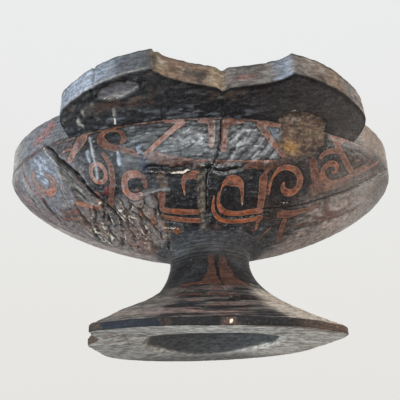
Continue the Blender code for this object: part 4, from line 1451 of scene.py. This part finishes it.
def colour_flare(surface, above, angle, radius, height):
    """The flare: black turned lacquer at the neck, streaked and rubbed to grey towards the rim."""
    points = surface.points
    turning = fractal(pair(angle / 20.0, (radius - height) / 2.3), 1.0, 201, 4)
    blotch = fractal(points, 6.0, 203, 4)
    low = smooth_step(height, 27, 10)
    flanks = smooth_step(np.abs(angle + 3), 14, 42) * smooth_step(np.abs(angle), 155, 105)
    surface.stain(SLATE, above * 0.55, blotch, -0.3, 0.3)
    surface.stain(ASH, above * low, turning, -0.1, 0.25)
    surface.stain(ROSE, above * 0.7 * low, turning + 0.4 * blotch, 0.2, 0.5)
    surface.stain(BLACK, above * 0.85, turning - 0.6 * blotch, -0.12, -0.4)
    worn = flanks * low * (0.9 + 0.5 * turning + 0.5 * blotch)
    to_right = smooth_step(angle, -30, 30) * smooth_step(angle, 135, 90)
    surface.stain(PALE_ASH, above * (0.42 + 0.48 * to_right), worn, 0.14, 0.66)
    rubbed_band = ridge(radius - 46.5, 2.4) * zone(angle, -60, 4, 8) * smooth_step(turning, -0.5, 0.1)
    surface.stain(RUBBED_ROSE, above * 0.5 * rubbed_band)
    surface.stain(PALE_WOOD, above * 0.85 * to_right, worn, 0.20, 0.68)
    hatching = streaks(np.radians(angle) * radius, height, 28, 3.0, 0.5, 209)
    surface.stain(BROWN, above * 0.5 * worn, hatching, 0.2, 0.6)
    neck = smooth_step(height, 30, 35)
    rings = np.sin(height * 2 * math.pi / RING_PITCH)
    surface.stain(ASH, above * 0.35 * neck, rings, 0, 0.8)
    surface.height += above * (0.16 * neck * rings + 0.16 * low * turning
                               + 0.18 * fractal(points, 6.0, 205) + 0.10 * fractal(points, 1.6, 207))
    surface.wear(above * (0.35 + 0.5 * smooth_step(worn, 0.1, 0.6)))


def colour_rim(surface, side, angle, height):
    """The rim's upright side: dark, with painted shade, a blue-black peeled stretch, brown broken ends
    and a painted glint.
    """
    points = surface.points
    angle = angle + 3.0 * fractal(points, 2.5, 215)
    surface.stain(RIM_BLACK, side)
    surface.stain(ASH, 0.20 * side, fractal(points * (1, 1, 3), 2.5, 211), 0.0, 0.4)
    surface.stain(BLUE_BLACK, side * zone(angle, -53, -27, 0.8))
    surface.stain(BLUE_GREY, 0.25 * side * zone(angle, -53, -27, 1), fractal(points, 3.0, 217), 0, 0.5)
    surface.stain(BROWN, 0.8 * side * zone(angle, -26, -22, 1))
    surface.shade(side * ridge(angle + 24, 0.9))
    surface.stain(BROWN, 0.8 * side * zone(angle, -3, 1.5, 0.8))
    # Painted glint: a small pale dot near the front.
    glint = np.hypot((angle + 0.5) * 0.9, height - 1.3)
    surface.tear(1.2 * side, glint, 0.9, 0.5)
    surface.stain(DARK_BROWN, side * zone(angle, 28, 75, 5))
    surface.stain(WOOD, 0.7 * side * zone(angle, 30, 62, 5), fractal(points, 1.8, 219), 0.1, 0.4)
    surface.stain(DEEP_BROWN, side * zone(angle, -90, -54, 2))
    surface.stain(WOOD, 0.8 * side * zone(angle, -90, -54, 2), fractal(points, 2.0, 218), 0.0, 0.4)
    surface.wear(side * 0.85)
    # Painted shade over the rim's side, sparing the glint.
    surface.shade(0.55 * side * (1 - zone(angle, -4, 3, 1)), angle, 40, 26)
    surface.height += side * (0.14 * fractal(points, 2.5, 213)
                              + 0.5 * zone(angle, -75, -54, 3) * fractal(points, 2.2, 214))


def colour_underneath(surface, under, angle, radius):
    """Bare, fibrous wood round a smooth dark recess."""
    points = surface.points
    x, y = points[..., 0], points[..., 1]
    deep = np.hypot(1.12 * x, y) + 0.2 * noise(points / 6.0, 223)
    recess = smooth_step(deep, RECESS_RADIUS + 0.8, RECESS_RADIUS - 0.4)
    fibres = streaks(x, y, 4, 6.0, 0.9, 221, 4) * smooth_step(deep, RECESS_RADIUS - 2, RECESS_RADIUS + 5)
    ground = under * (1 - recess)
    surface.stain(DRY_WOOD, ground)
    surface.stain(ASH, 0.75 * ground, fibres, 0.0, -0.35)
    surface.stain(BROWN, 0.5 * ground, fractal(points, 7.0, 225), 0.2, 0.5)
    surface.stain(ASH, 0.34 * ground, x, 0, -35)
    surface.stain(ASH, 0.85 * ground, y, 22, 40)
    surface.stain(BROWN, 0.9 * ground * smooth_step(radius, 48.6, 49.6) * zone(angle, 8, 50, 4))
    surface.stain(WARM_WOOD, 0.3 * ground, x, 12, 38)
    surface.height += ground * (0.26 * fibres + 0.12 * fractal(points, 2.0, 227))
    surface.stain(RECESS_GREY, under * recess)
    surface.wear(under * (0.9 - 0.35 * recess))
    surface.height += under * recess * 0.10 * fractal(points, 6.0, 229)


def crack_in_stem(surface, above, angle, radius, height):
    """A slanting crack down the front of the flare, black above and pale below."""
    distance = np.abs(np.radians(angle - 3.0 + 0.35 * (height - 24)) * radius)
    distance = np.where((height > 12) & (height < 34), distance, FAR)
    surface.height -= above * 0.35 * ridge(distance, 0.5)
    surface.shade(0.85 * above * ridge(distance, 0.55) * (height > 20))
    surface.tear(0.5 * above * ridge(distance, 0.35) * (height < 20))


def make_stem(material):
    front = np.linspace(-90, 90, STEM_FRONT_COLUMNS, endpoint=False)
    back = np.linspace(90, 270, STEM_BACK_COLUMNS, endpoint=False)
    degrees = np.concatenate([front, back])                # 0 at the front, +90 towards +X
    radius, z, strides = (np.array(column) for column in zip(*stem_profile()))
    grid, broken = warped_foot(radius, z, np.radians(degrees - 90))
    normals = outward_normals(grid)
    surface = Surface(grid, BLACK)
    everywhere = np.ones(grid.shape[:2])
    angle = everywhere * wrapped(degrees, 360)
    wide, height = np.hypot(grid[..., 0], grid[..., 1]), grid[..., 2]

    underneath_rows = RECESS_ROWS + RECESS_EDGE_ROWS + GROUND_ROWS
    flare_start = len(z) - np.argmax(z[::-1] < FOOT_RIM_HEIGHT)
    row = np.arange(len(z))[:, None]
    under = everywhere * (row < underneath_rows)
    above = everywhere * (row >= flare_start)
    side = (1 - under) * (1 - above)
    colour_flare(surface, above, angle, wide, height)
    groove = above * ridge(radius[:, None] - (FOOT_RADIUS - GROOVE_INSET), 0.45)
    surface.height -= 0.6 * groove
    surface.shade(groove)
    stem_strokes(surface, angle, wide, height)
    surface.paint = np.where(above > 0, surface.paint, FAR)
    crack_in_stem(surface, above, angle, wide, height)
    colour_rim(surface, side, angle, height)
    colour_underneath(surface, under, angle, wide)
    surface.stain(WOOD, 0.9 * broken)
    surface.wear(broken)
    surface.height[-1] = 0
    settle(surface, normals, "stem")
    surface.points[-1, :, 2] = SEAT_Z + SEAT_OVERLAP
    make_skin("stem_skin", surface, strides.astype(int), [material], "stem")


# ---------------------------------------------------------------- materials

class Shader:
    """A node material under construction around one Principled shader."""

    def __init__(self, name):
        self.material = bpy.data.materials.new(name)
        self.material.use_nodes = True
        self.nodes = self.material.node_tree.nodes
        self.links = self.material.node_tree.links
        self.principled = self.nodes["Principled BSDF"]

    def feed(self, socket, value):
        if isinstance(value, bpy.types.NodeSocket):
            self.links.new(value, socket)
        else:
            socket.default_value = value

    def field(self, name):
        node = self.nodes.new("ShaderNodeAttribute")
        node.attribute_name = name
        return node.outputs["Color" if name == "tint" else "Fac"]

    def math(self, operation, first, second):
        node = self.nodes.new("ShaderNodeMath")
        node.operation = operation
        self.feed(node.inputs[0], first)
        self.feed(node.inputs[1], second)
        return node.outputs[0]

    def span(self, value, from_low, from_high, to_low=0.0, to_high=1.0):
        node = self.nodes.new("ShaderNodeMapRange")
        node.interpolation_type = "SMOOTHSTEP"
        for name, number in (("From Min", from_low), ("From Max", from_high),
                             ("To Min", to_low), ("To Max", to_high)):
            self.feed(node.inputs[name], number)
        self.feed(node.inputs["Value"], value)
        return node.outputs[0]

    def speck(self, size_mm, detail, stretch=(1, 1, 1), roughness=0.55):
        """Noise in object space with blobs about size_mm across."""
        place = self.nodes.new("ShaderNodeTexCoord")
        mapping = self.nodes.new("ShaderNodeMapping")
        mapping.inputs["Scale"].default_value = stretch
        self.links.new(place.outputs["Object"], mapping.inputs["Vector"])
        node = self.nodes.new("ShaderNodeTexNoise")
        node.inputs["Scale"].default_value = 1 / (size_mm * MM)
        node.inputs["Detail"].default_value = detail
        node.inputs["Roughness"].default_value = roughness
        self.links.new(mapping.outputs[0], node.inputs["Vector"])
        return node.outputs["Fac"]

    def mix(self, first, second, amount, blend="MIX"):
        node = self.nodes.new("ShaderNodeMix")
        node.data_type = "RGBA"
        node.blend_type = blend
        self.feed(node.inputs["Factor"], amount)
        for socket, value in ((node.inputs[6], first), (node.inputs[7], second)):
            self.feed(socket, value if isinstance(value, bpy.types.NodeSocket) else (*value, 1))
        return node.outputs[2]

    def bump(self, height, strength, distance_mm):
        node = self.nodes.new("ShaderNodeBump")
        node.inputs["Strength"].default_value = strength
        node.inputs["Distance"].default_value = distance_mm * MM
        self.links.new(height, node.inputs["Height"])
        self.links.new(node.outputs[0], self.principled.inputs["Normal"])


def worn_red(shader, tone, worn_edge, fine, contrast, mottled):
    """Red paint, dull to bright by its tone, dusty, rubbed through in places, pale at its edge and
    lightened by painted sheen.
    """
    dull = shader.mix(DULL_RED, WORN_RED, shader.span(tone, 0.1, 0.75))
    red = shader.mix(dull, VERMILION, shader.span(tone, 0.72, 1.05))
    red = shader.mix(red, GRAIN_IN_RED, contrast, "MULTIPLY")
    red = shader.mix(red, DUST_ON_RED, shader.span(fine, 0.54, 0.76, 0.0, 0.30))
    rubbed_through = shader.span(shader.speck(4.5, 5.0), 0.50, 0.68, 0.0, 0.62)
    red = shader.mix(red, mottled, rubbed_through)
    outline = shader.math("MULTIPLY", shader.span(worn_edge, -0.36, -0.08, 0.0, 0.34),
                          shader.span(tone, 0.20, 0.60, 0.15, 1.0))
    red = shader.mix(red, PALE_RED_EDGE, outline)
    # Painted sheen lightens the paint here.
    return shader.mix(red, SHEEN_ON_PAINT, shader.field("painted_sheen"))


def lacquer(name, gloss_roughness, specular, grain, mottle, bump_strength):
    """Old lacquer read from a skin's fields: tint, paint, torn ground with painted glints, painted shade
    in cracks and hollows, painted sheen on the paint, and dry wood.
    """
    shader = Shader(name)
    dry = shader.field("dry")
    fine = shader.speck(0.8, 6.0, roughness=0.65)
    streaked = shader.speck(1.5, 6.0, grain, 0.65)
    contrast = shader.span(streaked, 0.34, 0.66)
    mottled = shader.mix(shader.field("tint"), (mottle,) * 3, contrast, "MULTIPLY")
    dusty = shader.math("MULTIPLY", shader.span(fine, 0.54, 0.72),
                        shader.span(dry, 0.0, 0.7, 0.05, 0.32))
    ground = shader.mix(mottled, DUST, dusty)

    tone = shader.field("tone")
    rubbing = shader.math("SUBTRACT", shader.speck(1.6, 7.0, roughness=0.70), 0.5)
    amount = shader.span(tone, 0.2, 0.9, 2.6, 0.7)
    worn_edge = shader.math("ADD", shader.field("paint"), shader.math("MULTIPLY", rubbing, amount))
    painted = shader.span(worn_edge, 0.16, -0.12)
    ground = shader.mix(ground, OUTLINE_BLACK, shader.span(worn_edge, 1.1, 0.2, 0.0, 0.65))
    red = worn_red(shader, tone, worn_edge, fine, contrast, mottled)
    colour = shader.mix(ground, red, painted)

    # Pale torn ground, and painted glints and highlights, from the same field.
    torn = shader.math("ADD", shader.field("pale"),
                       shader.math("MULTIPLY", shader.math("SUBTRACT", fine, 0.5), 0.9))
    colour = shader.mix(colour, PALE_GROUND_AND_GLINT, shader.span(torn, 0.42, 0.66))
    # Painted shade, darkest in cracks and hollows.
    colour = shader.mix(colour, SHADE_BLACK, shader.field("dark"))
    shader.links.new(colour, shader.principled.inputs["Base Color"])

    rough = shader.math("ADD", shader.span(dry, 0.0, 1.0, gloss_roughness, 0.85),
                        shader.span(fine, 0.35, 0.65, -0.10, 0.12))
    shader.links.new(rough, shader.principled.inputs["Roughness"])
    shader.principled.inputs["Specular IOR Level"].default_value = specular
    shader.bump(shader.math("ADD", fine, streaked), bump_strength, 0.30)
    return shader.material


def one_sided_floor():
    """A pale floor for views from above, clear when seen from underneath."""
    shader = Shader("studio_floor")
    shader.principled.inputs["Base Color"].default_value = (0.50, 0.495, 0.48, 1)
    shader.principled.inputs["Roughness"].default_value = 0.8
    geometry = shader.nodes.new("ShaderNodeNewGeometry")
    clear = shader.nodes.new("ShaderNodeBsdfTransparent")
    either = shader.nodes.new("ShaderNodeMixShader")
    shader.links.new(geometry.outputs["Backfacing"], either.inputs[0])
    shader.links.new(shader.principled.outputs[0], either.inputs[1])
    shader.links.new(clear.outputs[0], either.inputs[2])
    shader.links.new(either.outputs[0], shader.nodes["Material Output"].inputs["Surface"])
    return shader.material


# ---------------------------------------------------------------- stage, light, camera

def make_floor():
    half = FLOOR_HALF_SIZE * MM
    mesh = bpy.data.meshes.new("floor")
    corners = [(-half, -half, 0), (half, -half, 0), (half, half, 0), (-half, half, 0)]
    mesh.from_pydata(corners, [], [(0, 1, 2, 3)])
    mesh.materials.append(one_sided_floor())
    floor = bpy.data.objects.new("floor", mesh)
    bpy.context.scene.collection.objects.link(floor)
    for ray in ("diffuse", "glossy", "transmission", "shadow"):
        setattr(floor, "visible_" + ray, False)


def colour_ramp(nodes, stops):
    ramp = nodes.new("ShaderNodeValToRGB")
    while len(ramp.color_ramp.elements) < len(stops):
        ramp.color_ramp.elements.new(0.5)
    for element, (position, colour) in zip(ramp.color_ramp.elements, stops):
        element.position = position
        element.color = (*colour, 1)
    return ramp


def make_world():
    """A pale cloth all round, dark straight below and shaded on the side of the photographer."""
    world = bpy.data.worlds.new("studio")
    bpy.context.scene.world = world
    world.use_nodes = True
    nodes, links = world.node_tree.nodes, world.node_tree.links
    place = nodes.new("ShaderNodeTexCoord")
    axes = nodes.new("ShaderNodeSeparateXYZ")
    links.new(place.outputs["Generated"], axes.inputs[0])
    by_height = colour_ramp(nodes, ((0.0, (0.10, 0.10, 0.10)), (0.18, (0.15, 0.15, 0.15)),
                                    (0.34, (0.55, 0.545, 0.53)), (0.46, (0.78, 0.77, 0.75)),
                                    (0.56, (0.80, 0.79, 0.765)), (1.0, (0.84, 0.86, 0.87))))
    by_depth = colour_ramp(nodes, ((0.0, (0.30, 0.30, 0.31)), (0.25, (0.42, 0.42, 0.43)),
                                   (0.55, (1.0, 1.0, 1.0))))
    for axis, ramp in (("Z", by_height), ("Y", by_depth)):
        span = nodes.new("ShaderNodeMapRange")
        span.inputs["From Min"].default_value = -1.0
        links.new(axes.outputs[axis], span.inputs["Value"])
        links.new(span.outputs[0], ramp.inputs[0])
    both = nodes.new("ShaderNodeMix")
    both.data_type = "RGBA"
    both.blend_type = "MULTIPLY"
    both.inputs["Factor"].default_value = 1.0
    links.new(by_height.outputs[0], both.inputs[6])
    links.new(by_depth.outputs[0], both.inputs[7])
    links.new(both.outputs[2], nodes["Background"].inputs["Color"])


def make_light(name, place, size, power, colour):
    """A square area light, out of the camera's sight."""
    data = bpy.data.lights.new(name, "AREA")
    data.shape = "SQUARE"
    data.size = size * MM
    data.energy = power
    data.color = colour
    light = bpy.data.objects.new(name, data)
    bpy.context.scene.collection.objects.link(light)
    light.location = Vector(place) * MM
    facing = Vector(LIGHT_TARGET) - Vector(place)
    light.rotation_euler = facing.to_track_quat("-Z", "Y").to_euler()
    light.visible_camera = False


def make_camera():
    """The photograph's low viewpoint, looking up at the cup's front."""
    azimuth, elevation, roll = map(math.radians, (CAMERA_AZIMUTH, CAMERA_ELEVATION, CAMERA_ROLL))
    back = Vector((math.sin(azimuth) * math.cos(elevation),
                   -math.cos(azimuth) * math.cos(elevation), math.sin(elevation)))
    right = Vector((0, 0, 1)).cross(back).normalized()
    up = back.cross(right)
    turned_right = math.cos(roll) * right + math.sin(roll) * up
    turned_up = -math.sin(roll) * right + math.cos(roll) * up
    data = bpy.data.cameras.new("camera")
    data.sensor_width = SENSOR_WIDTH
    data.lens = CAMERA_LENS
    data.clip_start = CLIP_START * MM
    camera = bpy.data.objects.new("camera", data)
    bpy.context.scene.collection.objects.link(camera)
    turn = Matrix((turned_right, turned_up, back)).transposed()
    place = Vector(CAMERA_TARGET) + back * CAMERA_DISTANCE
    camera.matrix_world = Matrix.Translation(place * MM) @ turn.to_4x4()
    bpy.context.scene.camera = camera


def main():
    bpy.context.scene.view_settings.view_transform = "Standard"
    make_camera()
    make_world()
    make_floor()
    for light in LIGHTS:
        make_light(*light)

    outside = lacquer("bowl_lacquer", gloss_roughness=0.30, specular=0.40, grain=(0.6, 0.6, 1.6),
                      mottle=0.34, bump_strength=0.35)
    inside = lacquer("bowl_inside_lacquer", gloss_roughness=0.22, specular=0.50,
                     grain=(0.25, 0.6, 0.6), mottle=0.66, bump_strength=0.12)
    ears = lacquer("ear_lacquer", gloss_roughness=0.36, specular=0.35, grain=(0.4, 1.4, 1.4),
                   mottle=0.34, bump_strength=0.45)
    turned = lacquer("stem_lacquer", gloss_roughness=0.40, specular=0.28, grain=(0.5, 0.5, 2.2),
                     mottle=0.36, bump_strength=0.50)
    make_bowl([outside, inside])
    make_ear("ear_front", -1, ears)
    make_ear("ear_back", 1, ears)
    make_stem(turned)


main()
